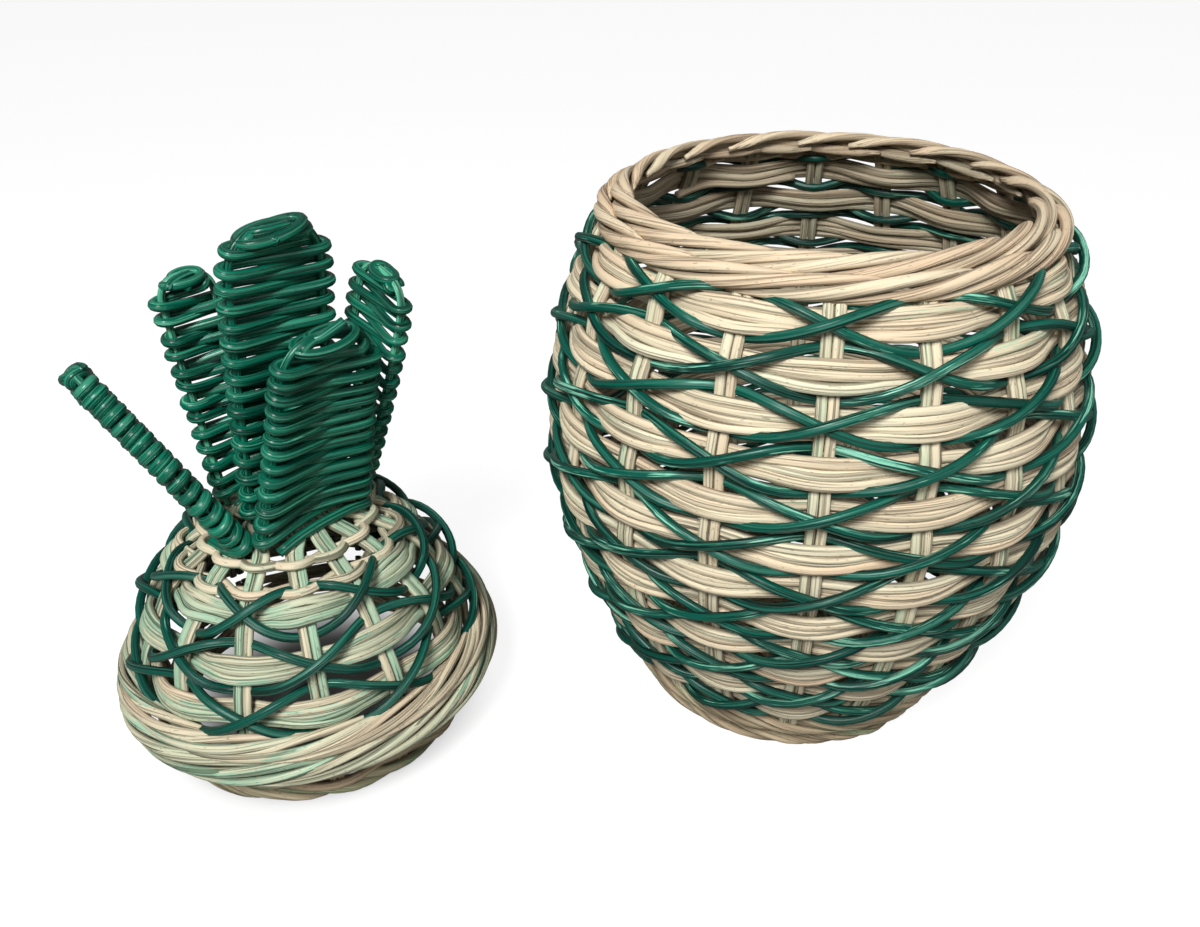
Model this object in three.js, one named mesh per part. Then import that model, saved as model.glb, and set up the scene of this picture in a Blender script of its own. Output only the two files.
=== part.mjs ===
// A woven rattan basket shaped like a pineapple, with its lid standing beside it.
//
// Units are millimetres and +Z is up. The origin is the middle of the basket's underside.
// The lid stands on the same floor, to the left of the basket. All the weaving is worked
// out on a wall, which is a surface of revolution: a place on it is an angle round the
// axis, a height along the wall's outline, and an offset along the wall's outward normal.
import * as THREE from 'three';
import { mergeVertices } from 'three/addons/utils/BufferGeometryUtils.js';

// Clearance between pieces that touch on the real basket
const gap = 0.3;

// Reeds and strands
const reed = 3.3; // thickness of the round reeds, three to a row and two to a stake
const bandHeight = 10.0; // three reeds lying side by side
const strandRadius = 1.4; // green strand, centre to corner
const strandInner = strandRadius / 2; // centre to the flat that faces the wall

// Basket body
const stakeCount = 18; // pairs of reeds, an odd number of twos so that a strand goes round twice
const stakeTurn = -0.148; // angle of the front stake from straight ahead, in radians
const stakeWidth = 6.6;
const bellyRadius = 92.0; // middle of the wall at its widest
const bellyHeight = 103.0;
const footRadius = 54.5; // middle of the wall at the floor
const mouthRadius = 68.3; // middle of the wall's outline where it would reach the crown
const crownHeight = 199.0; // top of the rim
const lowerCurve = 1.5; // how quickly the wall draws in below the belly
const upperCurve = 2.36; // and above it
const rowCount = 12; // spread evenly from the foot border to the rim

// Base and foot border
const baseThickness = 5.0;
const footHeight = 22.1; // top of the foot border, where the stakes stand
const footWall = 7.0; // thickness of the foot border
const footStrands = 2; // rounds of waling in the foot border
const footClearance = 0.6; // the stakes' ends lie square to the slanting wall

// Rim
const borderRadius = 4.0; // rolled border, centre of its round to its outside
const borderRing = 66.9; // axis of the basket to the centre of the border's round
const walingRadius = 3.0; // twisted ring round the outside of the border
const walingDrop = 2.0; // how much lower it lies than the border
const ropeLobe = 0.6; // how far a twisted ring's strands stand out
const ropeTurns = 12; // turns of the lay once round a twisted ring
const ropeSides = 6;
const ropeFlat = 0.92; // a six-sided ring's reach towards the ring beside it, over its radius
const ropeSteps = 36;

// Lid
const lidPlace = new THREE.Vector3(-191.5, -25.0, 0);
const lidStakeCount = 14;
const lidStakeTurn = 0.318;
const lidStakeWidth = 5.8;
const domeRadius = 61.0; // middle of the dome's wall at its widest
const domeBottom = 25.0;
const domeTop = 90.0;
const domeCurve = 2.2; // 2 would be an ellipse
const lidRowCount = 3;
const lidRowPitch = 17.4;
const lidLowestRow = 19.2; // from the dome's lower edge up along the wall
const domeClearance = 0.3; // more room for flat pieces on the rounder dome
const capRadius = 29.0; // crown, where the stakes cross
const capExtra = 0.4; // the crown is a little thicker than the stakes
const twiningPlace = 5.4; // from the edge of the crown out to the ring twined round it
const brimRadius = 5.2; // thick twisted ring at the brim, centre to outside
const brimTall = 1.3; // its height over its width
const brimHeight = 27.0;
const collarBottom = 56.5; // outside of the collar at the floor
const collarTop = 61.0;
const collarWall = 4.0;

// Leaves. Each is one reed, bent to a U and then wound over its own two legs in figures
// of eight. base is where it stands on the crown and tip is its top, both from the lid's
// axis. turn is the way its width runs, in degrees. foot and half are half the distance
// between its legs, at the crown and at its widest.
const leafStrand = 1.3; // centre of the reed to its corner
const leafClear = 0.65; // least room between the winding and the legs
const leafPitch = 6.6; // height of one figure of eight
const leafLift = 2.6; // from the crown up to the first one
const leafSink = 0.5; // a leg's cut end stands nearer to the crown than its round side may
const leafReach = 0.7; // how far up the rounded top it is wound
const leaves = [
  { name: 'leaf_centre', base: [2, 0], tip: [13, 3, 197], turn: 45, foot: 15, half: 16.8 },
  { name: 'leaf_front', base: [12, -9.5], tip: [30, -13, 166.5], turn: 46, foot: 20, half: 17 },
  { name: 'leaf_back_left', base: [-17, 11], tip: [-24.5, 15, 176], turn: 38, foot: 8, half: 9 },
  { name: 'leaf_back_right', base: [18.5, 22.5], tip: [43.5, 16, 175], turn: -44, foot: 7, half: 12 },
  { name: 'leaf_left', base: [-15, -16.2], tip: [-60.5, -6.5, 151], turn: -50, foot: 6, half: 11 },
];

const UP = new THREE.Vector3(0, 0, 1);

const tan = new THREE.MeshStandardMaterial({ color: 0xd9c2a0, roughness: 0.75, metalness: 0 });
const mint = new THREE.MeshStandardMaterial({ color: 0xb9c9a4, roughness: 0.7, metalness: 0 });
const green = new THREE.MeshStandardMaterial({ color: 0x0b5f45, roughness: 0.35, metalness: 0 });
const base = new THREE.MeshStandardMaterial({ color: 0xc9b08c, roughness: 0.8, metalness: 0 });

const group = new THREE.Group();
const lid = new THREE.Group();
lid.position.copy(lidPlace);
group.add(lid);

// Adds one named piece to a group
function addPiece(parent, name, geometry, material) {
  const mesh = new THREE.Mesh(geometry, material);
  mesh.name = name;
  parent.add(mesh);
}

// The wall's outline as points with their length along it, for looking up places on it
class Wall {
  // pointAt gives the radius and height at a share from 0, the bottom, to 1, the top
  constructor(pointAt) {
    const steps = 240;
    this.points = [];
    let length = 0;
    for (let i = 0; i <= steps; i += 1) {
      const [r, z] = pointAt(i / steps);
      if (i > 0) {
        const last = this.points[i - 1];
        length += Math.hypot(r - last.r, z - last.z);
      }
      this.points.push({ r, z, s: length });
    }
  }

  // Radius, height and outward normal at a length along the outline
  at(s) {
    const above = this.points.findIndex((point) => point.s > s);
    const i = above < 0 ? this.points.length - 1 : Math.max(above, 1);
    const a = this.points[i - 1];
    const b = this.points[i];
    const part = (s - a.s) / (b.s - a.s);
    const along = Math.hypot(b.r - a.r, b.z - a.z);
    return {
      r: a.r + (b.r - a.r) * part,
      z: a.z + (b.z - a.z) * part,
      nr: (b.z - a.z) / along,
      nz: -(b.r - a.r) / along,
    };
  }

  // Length along the outline at a height
  atHeight(z) {
    const i = Math.max(1, this.points.findIndex((point) => point.z >= z));
    const a = this.points[i - 1];
    const b = this.points[i];
    return a.s + ((b.s - a.s) * (z - a.z)) / (b.z - a.z);
  }

  // A place on the wall, and the wall's normal there
  place(angle, s, offset) {
    const w = this.at(s);
    const out = new THREE.Vector3(Math.cos(angle), Math.sin(angle), 0);
    const normal = out.clone().multiplyScalar(w.nr).addScaledVector(UP, w.nz);
    const point = out.multiplyScalar(w.r).addScaledVector(UP, w.z);
    return { point: point.addScaledVector(normal, offset), normal };
  }
}

// A solid swept along places that each give a point and a normal. Section points are
// pairs: along the normal, and across the path. sectionAt gives them for each place.
function sweep(places, sectionAt, closed) {
  const count = places.length;
  const positions = [];
  const indices = [];
  const sides = sectionAt(0).length;
  for (let i = 0; i < count; i += 1) {
    const before = places[closed ? (i + count - 1) % count : Math.max(i - 1, 0)].point;
    const after = places[closed ? (i + 1) % count : Math.min(i + 1, count - 1)].point;
    const here = places[i].point;
    const a = here.clone().sub(before).normalize();
    const b = after.clone().sub(here).normalize();
    const along = a.add(b).normalize();
    const normal = places[i].normal.clone();
    normal.addScaledVector(along, -normal.dot(along)).normalize();
    const across = along.clone().cross(normal);
    for (const [n, c] of sectionAt(i)) {
      const p = here.clone().addScaledVector(normal, n).addScaledVector(across, c);
      positions.push(p.x, p.y, p.z);
    }
  }
  const rings = closed ? count : count - 1;
  for (let i = 0; i < rings; i += 1) {
    const next = (i + 1) % count;
    for (let k = 0; k < sides; k += 1) {
      const l = (k + 1) % sides;
      const quad = [i * sides + k, i * sides + l, next * sides + l, next * sides + k];
      indices.push(quad[0], quad[1], quad[2], quad[0], quad[2], quad[3]);
    }
  }
  if (!closed) {
    const end = (count - 1) * sides;
    for (let k = 1; k < sides - 1; k += 1) {
      indices.push(0, k + 1, k);
      indices.push(end, end + k, end + k + 1);
    }
  }
  return solidFrom(positions, indices);
}

// A mesh geometry with its faces turned outwards
function solidFrom(positions, indices) {
  let volume = 0;
  const pointAt = (i) => new THREE.Vector3().fromArray(positions, 3 * i);
  for (let i = 0; i < indices.length; i += 3) {
    const [a, b, c] = [0, 1, 2].map((k) => pointAt(indices[i + k]));
    volume += a.dot(b.cross(c));
  }
  if (volume < 0) {
    for (let i = 0; i < indices.length; i += 3) {
      [indices[i + 1], indices[i + 2]] = [indices[i + 2], indices[i + 1]];
    }
  }
  const geometry = new THREE.BufferGeometry();
  geometry.setAttribute('position', new THREE.Float32BufferAttribute(positions, 3));
  geometry.setIndex(indices);
  return geometry;
}

const flatSection = (thick, high) => [
  [thick / 2, high / 2], [-thick / 2, high / 2], [-thick / 2, -high / 2], [thick / 2, -high / 2],
];
// A three-sided strand with one corner outwards
const triangle = (radius) => [0, 1, 2].map((k) => {
  const angle = (2 * Math.PI * k) / 3;
  return [radius * Math.cos(angle), radius * Math.sin(angle)];
});
const strandSection = triangle(strandRadius);

// Offsets of the weave from the middle of the wall
const bandOffset = reed + 0.35; // a row where it lies on a stake, in front or behind
const behindOffset = -(reed / 2 + gap + strandRadius + 0.1);
const crossInner = reed / 2 + gap + strandInner + 0.2;
const crossOuter = crossInner + strandRadius + gap + strandInner + 0.3;
const openOffset = 4.0; // a strand between stakes, just outside the row
const openShare = 0.37; // how far along the space between two stakes it comes out

// A tan row: a band that goes over one stake and under the next
function tanRow(wall, count, turn, s, width, overEven, clearance = 0) {
  const step = (2 * Math.PI) / count;
  const edge = (width / 2 + 1.3) / wall.at(s).r;
  const places = [];
  for (let k = 0; k < count; k += 1) {
    const over = (k % 2 === 0) === overEven;
    const angle = turn + k * step - Math.PI / 2;
    const offset = (over ? 1 : -1) * (bandOffset + clearance);
    places.push(wall.place(angle - edge, s, offset));
    places.push(wall.place(angle + edge, s, offset));
  }
  return sweep(places, () => flatSection(reed, bandHeight), true);
}

// The green strand of a row, twice round. It passes behind a stake above or below the
// row where the row is in front, and crosses in front of the stake where the row is behind.
function greenStrand(wall, count, turn, s, pitch, width, overEven, clearance = 0) {
  const step = (2 * Math.PI) / count;
  const edge = (width / 2 + 1.2) / wall.at(s).r;
  const places = [];
  const start = overEven ? 0 : 1;
  for (let j = 0; j < 2 * count; j += 4) {
    const first = turn + (start + j) * step - Math.PI / 2;
    for (const [stake, side, outer] of [[0, 1, false], [2, -1, true]]) {
      const angle = first + stake * step;
      const level = s + (side * pitch) / 2;
      places.push(wall.place(angle - edge, level, behindOffset - clearance));
      places.push(wall.place(angle + edge, level, behindOffset - clearance));
      places.push(wall.place(angle + openShare * step, level, openOffset));
      const cross = (outer ? crossOuter : crossInner) + clearance;
      places.push(wall.place(angle + step, s, cross));
      places.push(wall.place(angle + (2 - openShare) * step, s - (side * pitch) / 2, openOffset));
    }
  }
  return sweep(places, () => strandSection, true);
}

// A twisted ring: strands that stand out of a round, turning as they go round the axis
function twistedRing(ring, z, radius, lobes, tall = 1) {
  const places = [];
  for (let i = 0; i < ropeSteps; i += 1) {
    const angle = (2 * Math.PI * i) / ropeSteps;
    const normal = new THREE.Vector3(Math.cos(angle), Math.sin(angle), 0);
    places.push({ point: normal.clone().multiplyScalar(ring).addScaledVector(UP, z), normal });
  }
  const sectionAt = (i) => {
    const turned = (2 * Math.PI * ropeTurns * i) / ropeSteps / lobes;
    const points = [];
    for (let k = 0; k < ropeSides; k += 1) {
      const angle = (2 * Math.PI * k) / ropeSides;
      const reach = radius - ropeLobe * (0.5 - 0.5 * Math.cos(lobes * (angle - turned)));
      points.push([reach * Math.cos(angle), tall * reach * Math.sin(angle)]);
    }
    return points;
  };
  return sweep(places, sectionAt, true);
}

// Basket body
const bellyToFoot = bellyRadius - footRadius;
const bellyToMouth = bellyRadius - mouthRadius;
const outlineTop = crownHeight - 1.0;
function basketRadius(z) {
  if (z < bellyHeight) {
    return bellyRadius - bellyToFoot * ((bellyHeight - z) / bellyHeight) ** lowerCurve;
  }
  return bellyRadius - bellyToMouth * ((z - bellyHeight) / (outlineTop - bellyHeight)) ** upperCurve;
}
const wall = new Wall((share) => [basketRadius(outlineTop * share), outlineTop * share]);
const borderHeight = crownHeight - borderRadius;
const ringDistance = ropeFlat * (borderRadius + walingRadius) + gap;
const walingHeight = borderHeight - walingDrop;
const stakeTop = wall.atHeight(walingHeight - walingRadius - gap - 0.4);
const walingRing = borderRing + Math.sqrt(ringDistance ** 2 - walingDrop ** 2);
const stakeBottom = wall.atHeight(footHeight + gap + footClearance);
const lowestPlace = stakeBottom + gap + strandRadius; // middle of the lowest green strand
const highestPlace = stakeTop + bandHeight / 2; // the first row lies a channel below the top
const rowPitch = (highestPlace - lowestPlace) / (rowCount + 0.5); // along the wall
const channel = rowPitch - bandHeight; // room between two rows, for a green strand
const firstRow = stakeTop - channel - bandHeight / 2;
const rowPlace = (row) => firstRow - (row - 1) * rowPitch;

for (let k = 0; k < stakeCount; k += 1) {
  const angle = stakeTurn + (k * 2 * Math.PI) / stakeCount - Math.PI / 2;
  const places = [wall.place(angle, stakeBottom, 0)];
  for (let row = rowCount - 1; row >= 1; row -= 1) {
    places.push(wall.place(angle, rowPlace(row) - rowPitch / 2, 0));
  }
  places.push(wall.place(angle, stakeTop, 0));
  const name = `basket_stake_${String(k + 1).padStart(2, '0')}`;
  addPiece(group, name, sweep(places, () => flatSection(reed, stakeWidth), false), tan);
}
for (let row = 1; row <= rowCount; row += 1) {
  const number = String(row).padStart(2, '0');
  const s = rowPlace(row);
  const overEven = row % 2 === 0;
  const band = tanRow(wall, stakeCount, stakeTurn, s, stakeWidth, overEven);
  const strand = greenStrand(wall, stakeCount, stakeTurn, s, rowPitch, stakeWidth, overEven);
  addPiece(group, `basket_row_${number}`, band, tan);
  addPiece(group, `basket_green_${number}`, strand, green);
}

// Base with the foot border: a tray that the stakes stand in
const trayLow = footRadius + footWall / 2;
const trayHigh = basketRadius(footHeight) + footWall / 2;
const profile = [new THREE.Vector2(0, 0), new THREE.Vector2(trayLow - 2, 0)];
const roundHeight = footHeight / footStrands;
for (let i = 0; i < footStrands; i += 1) {
  const low = i / footStrands;
  const radius = (share) => trayLow + (trayHigh - trayLow) * share;
  profile.push(new THREE.Vector2(radius(low), i * roundHeight + roundHeight * 0.25));
  profile.push(new THREE.Vector2(radius(low + 0.6 / footStrands) + 0.8, (i + 0.6) * roundHeight));
}
profile.push(new THREE.Vector2(trayHigh, footHeight - 0.2));
profile.push(new THREE.Vector2(trayHigh - footWall, footHeight - 0.2));
profile.push(new THREE.Vector2(trayLow - footWall, baseThickness));
profile.push(new THREE.Vector2(0, baseThickness));
addPiece(group, 'basket_base', latheSolid(profile, 30), base);

// A closed profile turned round the axis, with its two ends on the axis
function latheSolid(points, segments) {
  const geometry = new THREE.LatheGeometry(points, segments);
  geometry.rotateX(Math.PI / 2);
  geometry.deleteAttribute('normal');
  geometry.deleteAttribute('uv');
  const merged = mergeVertices(geometry, 1e-3);
  const index = [];
  const source = Array.from(merged.index.array);
  for (let i = 0; i < source.length; i += 3) {
    const [a, b, c] = [source[i], source[i + 1], source[i + 2]];
    if (a !== b && b !== c && a !== c) index.push(a, b, c);
  }
  return solidFrom(Array.from(merged.getAttribute('position').array), index);
}

addPiece(group, 'rim_waling', twistedRing(walingRing, walingHeight, walingRadius, 2), tan);
addPiece(group, 'rim_border', twistedRing(borderRing, borderHeight, borderRadius, 3), tan);

// Lid dome
const domeHeight = domeTop - domeBottom;
const dome = new Wall((share) => {
  const angle = (Math.PI / 2) * share;
  return [
    domeRadius * Math.cos(angle) ** (2 / domeCurve),
    domeBottom + domeHeight * Math.sin(angle) ** (2 / domeCurve),
  ];
});

const lidRowPlace = (row) => lidLowestRow + (lidRowCount - row) * lidRowPitch;

// The crown and the stakes that run down from it to the brim, as one piece. The rim of
// the crown's plate is made of the stakes' upper ends and the plate's edge between them.
const crownThick = reed + capExtra;
const domeApex = dome.points[dome.points.length - 1].s;
const capEdge = dome.points.find((point) => point.z > domeBottom && point.r < capRadius).s;
const armPlaces = [0];
for (let row = lidRowCount; row >= 1; row -= 1) {
  armPlaces.push(lidRowPlace(row) - lidRowPitch / 2, lidRowPlace(row));
}
armPlaces.push(lidRowPlace(1) + lidRowPitch / 2, capEdge);

function crownStakes() {
  const positions = [];
  const indices = [];
  const add = (p) => positions.push(p.x, p.y, p.z) / 3 - 1;
  const quad = (a, b, c, d) => indices.push(a, b, c, a, c, d);
  const stakes = [];
  for (let k = 0; k < lidStakeCount; k += 1) {
    const angle = lidStakeTurn + (k * 2 * Math.PI) / lidStakeCount - Math.PI / 2;
    const across = new THREE.Vector3(-Math.sin(angle), Math.cos(angle), 0);
    const stake = armPlaces.map((s, i) => {
      const thick = i === armPlaces.length - 1 ? crownThick : reed;
      const { point, normal } = dome.place(angle, s, 0);
      return [[-1, -1], [1, -1], [1, 1], [-1, 1]].map(([side, out]) => add(
        point.clone().addScaledVector(across, (side * lidStakeWidth) / 2)
          .addScaledVector(normal, (out * thick) / 2),
      ));
    });
    for (let i = 1; i < stake.length; i += 1) {
      for (let j = 0; j < 4; j += 1) {
        const l = (j + 1) % 4;
        quad(stake[i - 1][l], stake[i - 1][j], stake[i][j], stake[i][l]);
      }
    }
    quad(...stake[0]);
    stakes.push(stake[stake.length - 1]);
  }
  const rings = [
    stakes.flatMap((end) => [end[0], end[1]]),
    stakes.flatMap((end) => [end[3], end[2]]),
  ];
  const around = rings[0].length;
  for (let k = 1; k < around; k += 2) {
    const l = (k + 1) % around;
    quad(rings[0][k], rings[0][l], rings[1][l], rings[1][k]);
  }
  for (const outer of [0, 1]) {
    const offset = ((outer ? 1 : -1) * crownThick) / 2;
    const rim = rings[outer];
    const middle = rim.map((_, k) => {
      const angle = lidStakeTurn + ((k - 0.5) * Math.PI) / lidStakeCount - Math.PI / 2;
      return add(dome.place(angle, (capEdge + domeApex) / 2, offset).point);
    });
    const apex = add(new THREE.Vector3(0, 0, domeTop + offset));
    for (let k = 0; k < around; k += 1) {
      const l = (k + 1) % around;
      if (outer) {
        quad(rim[k], rim[l], middle[l], middle[k]);
        indices.push(middle[k], middle[l], apex);
      } else {
        quad(rim[l], rim[k], middle[k], middle[l]);
        indices.push(middle[l], middle[k], apex);
      }
    }
  }
  return solidFrom(positions, indices);
}
addPiece(lid, 'lid_crown_stakes', crownStakes(), mint);

for (let row = 1; row <= lidRowCount; row += 1) {
  const s = lidRowPlace(row);
  const overEven = row % 2 === 1;
  const band = tanRow(dome, lidStakeCount, lidStakeTurn, s, lidStakeWidth, overEven, domeClearance);
  const strand = greenStrand(
    dome, lidStakeCount, lidStakeTurn, s, lidRowPitch, lidStakeWidth, overEven, domeClearance,
  );
  addPiece(lid, `lid_row_${row}`, band, mint);
  addPiece(lid, `lid_green_${row}`, strand, green);
}

// A plain ring of reed that lies on the dome
const twiningPlaces = [];
for (let k = 0; k < 2 * lidStakeCount; k += 1) {
  const angle = lidStakeTurn + (k * Math.PI) / lidStakeCount;
  const offset = crownThick / 2 + gap + strandInner;
  twiningPlaces.push(dome.place(angle, capEdge - twiningPlace, offset));
}
addPiece(lid, 'crown_twining', sweep(twiningPlaces, () => strandSection, true), mint);

const brimRing = domeRadius + reed / 2 + gap + brimRadius;
addPiece(lid, 'brim_border', twistedRing(brimRing, brimHeight, brimRadius, 3, brimTall), mint);

const collarHeight = domeBottom - gap;
const collarProfile = [
  [collarBottom, 0], [collarTop, collarHeight], [collarTop - collarWall, collarHeight],
  [collarBottom - collarWall, 0], [collarBottom, 0],
].map(([r, z]) => new THREE.Vector2(r, z));
addPiece(lid, 'collar', latheSolid(collarProfile, 28), base);

// The crown's upper surface as the straight lines between its rings, from the apex down
const crownOutline = [domeApex, (capEdge + domeApex) / 2, capEdge, lidRowPlace(1) + lidRowPitch / 2]
  .map((s, i) => dome.place(0, s, (i > 2 ? reed : crownThick) / 2).point);
crownOutline[0].x = 0;

// Least height for the middle of a reed over a point of the crown, from the lid's axis
function crownHeightAt(x, y) {
  const r = Math.hypot(x, y);
  const i = Math.max(1, crownOutline.findIndex((point) => point.x > r));
  const [a, b] = [crownOutline[i - 1], crownOutline[i]];
  const slope = (a.z - b.z) / (b.x - a.x);
  return a.z - slope * (r - a.x) + (gap + leafStrand) * Math.hypot(1, slope);
}

// The path of one leaf's reed
function leafPath(leaf) {
  const turn = THREE.MathUtils.degToRad(leaf.turn);
  const [x, y] = leaf.base;
  const flat = new THREE.Vector3(Math.cos(turn), Math.sin(turn), 0);
  const tip = new THREE.Vector3(...leaf.tip);
  const root = new THREE.Vector3(x, y, crownHeightAt(x, y));
  const axis = tip.clone().sub(root);
  const length = axis.length() - leafStrand;
  axis.normalize();
  const across = flat.clone().addScaledVector(axis, -flat.dot(axis)).normalize();
  const facing = across.clone().cross(axis);
  const at = (u, v, n) => root.clone().addScaledVector(across, u).addScaledVector(axis, v)
    .addScaledVector(facing, n);
  // How far up the leaf a reed at u and n just clears the crown
  const clearOf = (u, n) => {
    let v = 0;
    for (let i = 0; i < 3; i += 1) {
      const p = at(u, v, n);
      v -= (p.z - crownHeightAt(p.x, p.y)) / axis.z;
    }
    return v;
  };
  const round = leaf.half; // the top is a half circle
  const straight = length - round;
  const halfAt = (v) => {
    if (v > straight) return round * Math.sqrt(Math.max(0, 1 - ((v - straight) / round) ** 2));
    return leaf.foot + (leaf.half - leaf.foot) * Math.sin((Math.PI / 2) * (v / straight));
  };
  const reach = 2 * leafStrand + leafClear;
  const path = [at(-leaf.foot, clearOf(-leaf.foot, 0) - leafStrand * leafSink, 0)];
  const legShares = [0.3, 0.65, 1];
  for (const share of legShares) path.push(at(-halfAt(share * straight), share * straight, 0));
  const bends = 4;
  for (let i = 1; i < bends; i += 1) {
    const angle = Math.PI - (Math.PI * i) / bends;
    path.push(at(round * Math.cos(angle), straight + round * Math.sin(angle), 0));
  }
  for (const share of [...legShares].reverse()) {
    path.push(at(halfAt(share * straight), share * straight, 0));
  }
  const hook = leaf.foot + reach;
  path.push(at(leaf.foot, clearOf(leaf.foot, 0), 0));
  path.push(at(hook, clearOf(hook, 0), 0));
  const corners = [[hook, -reach], [-hook, reach], [-hook, -reach], [hook, reach]];
  const start = Math.max(...corners.map(([u, n]) => clearOf(u, n))) + leafLift;
  const turns = Math.floor((straight + round * leafReach - start) / leafPitch);
  const steps = 6;
  for (let i = 2; i <= turns * steps; i += 1) {
    const v = start + (leafPitch * (i - 2)) / steps;
    const half = halfAt(v);
    const wide = half + (v > straight ? (reach * round) / half : reach);
    const deep = ((reach + 0.35) * wide) / half;
    const stop = i % steps;
    if (stop === 1) path.push(at(wide, v, deep));
    else if (stop === 2) path.push(at(wide, v, -deep));
    else if (stop === 4) path.push(at(-wide, v, deep));
    else if (stop === 5) path.push(at(-wide, v, -deep));
    else path.push(at(0, v, 0));
  }
  return { path, facing };
}

// Normals carried along a path without twist
function carried(path, first) {
  const places = [];
  let normal = first.clone();
  path.forEach((point, i) => {
    const before = path[Math.max(i - 1, 0)];
    const after = path[Math.min(i + 1, path.length - 1)];
    const along = point.clone().sub(before).normalize();
    along.add(after.clone().sub(point).normalize()).normalize();
    normal = normal.clone().addScaledVector(along, -normal.dot(along)).normalize();
    places.push({ point, normal });
  });
  return places;
}

// Least gap between stretches of one strand, measured on points along its path
function leastGap(path, thickness) {
  const spacing = 1.0;
  const apart = 4 * thickness; // neighbours along the path are left out
  const points = [];
  let length = 0;
  for (let i = 1; i < path.length; i += 1) {
    const span = path[i].distanceTo(path[i - 1]);
    const pieces = Math.ceil(span / spacing);
    for (let k = 0; k < pieces; k += 1) {
      const point = path[i - 1].clone().lerp(path[i], k / pieces);
      points.push({ point, s: length + (span * k) / pieces });
    }
    length += span;
  }
  let least = Infinity;
  for (let i = 0; i < points.length; i += 1) {
    for (let k = i + 1; k < points.length; k += 1) {
      if (points[k].s - points[i].s > apart) {
        least = Math.min(least, points[i].point.distanceTo(points[k].point));
      }
    }
  }
  return least - thickness;
}

const leafSection = triangle(leafStrand);
for (const leaf of leaves) {
  const { path, facing } = leafPath(leaf);
  const least = leastGap(path, 2 * leafStrand);
  console.log(`${leaf.name}: least gap to itself ${least.toFixed(2)} mm`);
  addPiece(lid, leaf.name, sweep(carried(path, facing), () => leafSection, false), green);
}

export default group;
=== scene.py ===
"""Dresses a pineapple-shaped reed basket, and the lid that stands beside it, for rendering.

Every reed is a tube of its own that is laid along its real path: the rows go in front of
one stake and behind the next, the green strands cross over them in a net, and the leaves
are wound over their frames in figures of eight. Places are worked out in millimetres, on
walls that are surfaces of revolution, and meshes are made in metres.
"""

from __future__ import annotations

import logging
import math
from collections.abc import Sequence
from dataclasses import dataclass, field
from enum import Enum

import bmesh
import bpy
import numpy as np
from mathutils import Matrix, Vector

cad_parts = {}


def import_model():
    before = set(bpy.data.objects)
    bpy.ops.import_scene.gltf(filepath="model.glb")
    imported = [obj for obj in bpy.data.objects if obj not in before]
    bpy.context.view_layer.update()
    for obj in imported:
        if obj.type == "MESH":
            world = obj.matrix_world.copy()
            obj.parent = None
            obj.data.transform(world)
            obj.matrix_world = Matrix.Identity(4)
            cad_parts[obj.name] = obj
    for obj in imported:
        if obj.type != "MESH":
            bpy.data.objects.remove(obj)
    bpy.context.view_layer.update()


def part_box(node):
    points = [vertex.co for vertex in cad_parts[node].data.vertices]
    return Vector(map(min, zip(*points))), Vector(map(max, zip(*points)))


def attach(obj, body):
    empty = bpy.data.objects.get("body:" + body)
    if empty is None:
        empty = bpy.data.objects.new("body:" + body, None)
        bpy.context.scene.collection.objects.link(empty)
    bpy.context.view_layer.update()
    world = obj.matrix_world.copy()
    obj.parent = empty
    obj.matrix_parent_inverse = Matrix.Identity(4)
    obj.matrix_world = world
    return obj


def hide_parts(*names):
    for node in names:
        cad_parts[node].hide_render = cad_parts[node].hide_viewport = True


LOG = logging.getLogger("basket")
MM = 0.001
TAU = 2 * math.pi
QUARTER = math.pi / 2
UP = np.array([0.0, 0.0, 1.0])

Colour = tuple[float, float, float]
Socket = bpy.types.NodeSocket


class Body(Enum):
    """The two bodies that move apart."""

    BASKET = "basket"
    LID = "lid"


class Slot(Enum):
    """The record's material slots."""

    NATURAL = "natural_reed"
    MINT = "mint_reed"
    GREEN = "green_strand"
    LEAF = "leaf_reed"
    BASE = "base_reed"


def linear(colour: Colour) -> tuple[float, float, float, float]:
    """Turns a colour as it is seen on a screen into the renderer's linear light.

    Args:
        colour: Red, green and blue from 0 to 1.

    Returns:
        Linear red, green and blue, and full opacity.
    """
    knee, slope, lift, power = 0.04045, 12.92, 0.055, 2.4
    parts = [c / slope if c <= knee else ((c + lift) / (1 + lift)) ** power for c in colour]
    return (parts[0], parts[1], parts[2], 1.0)


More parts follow.
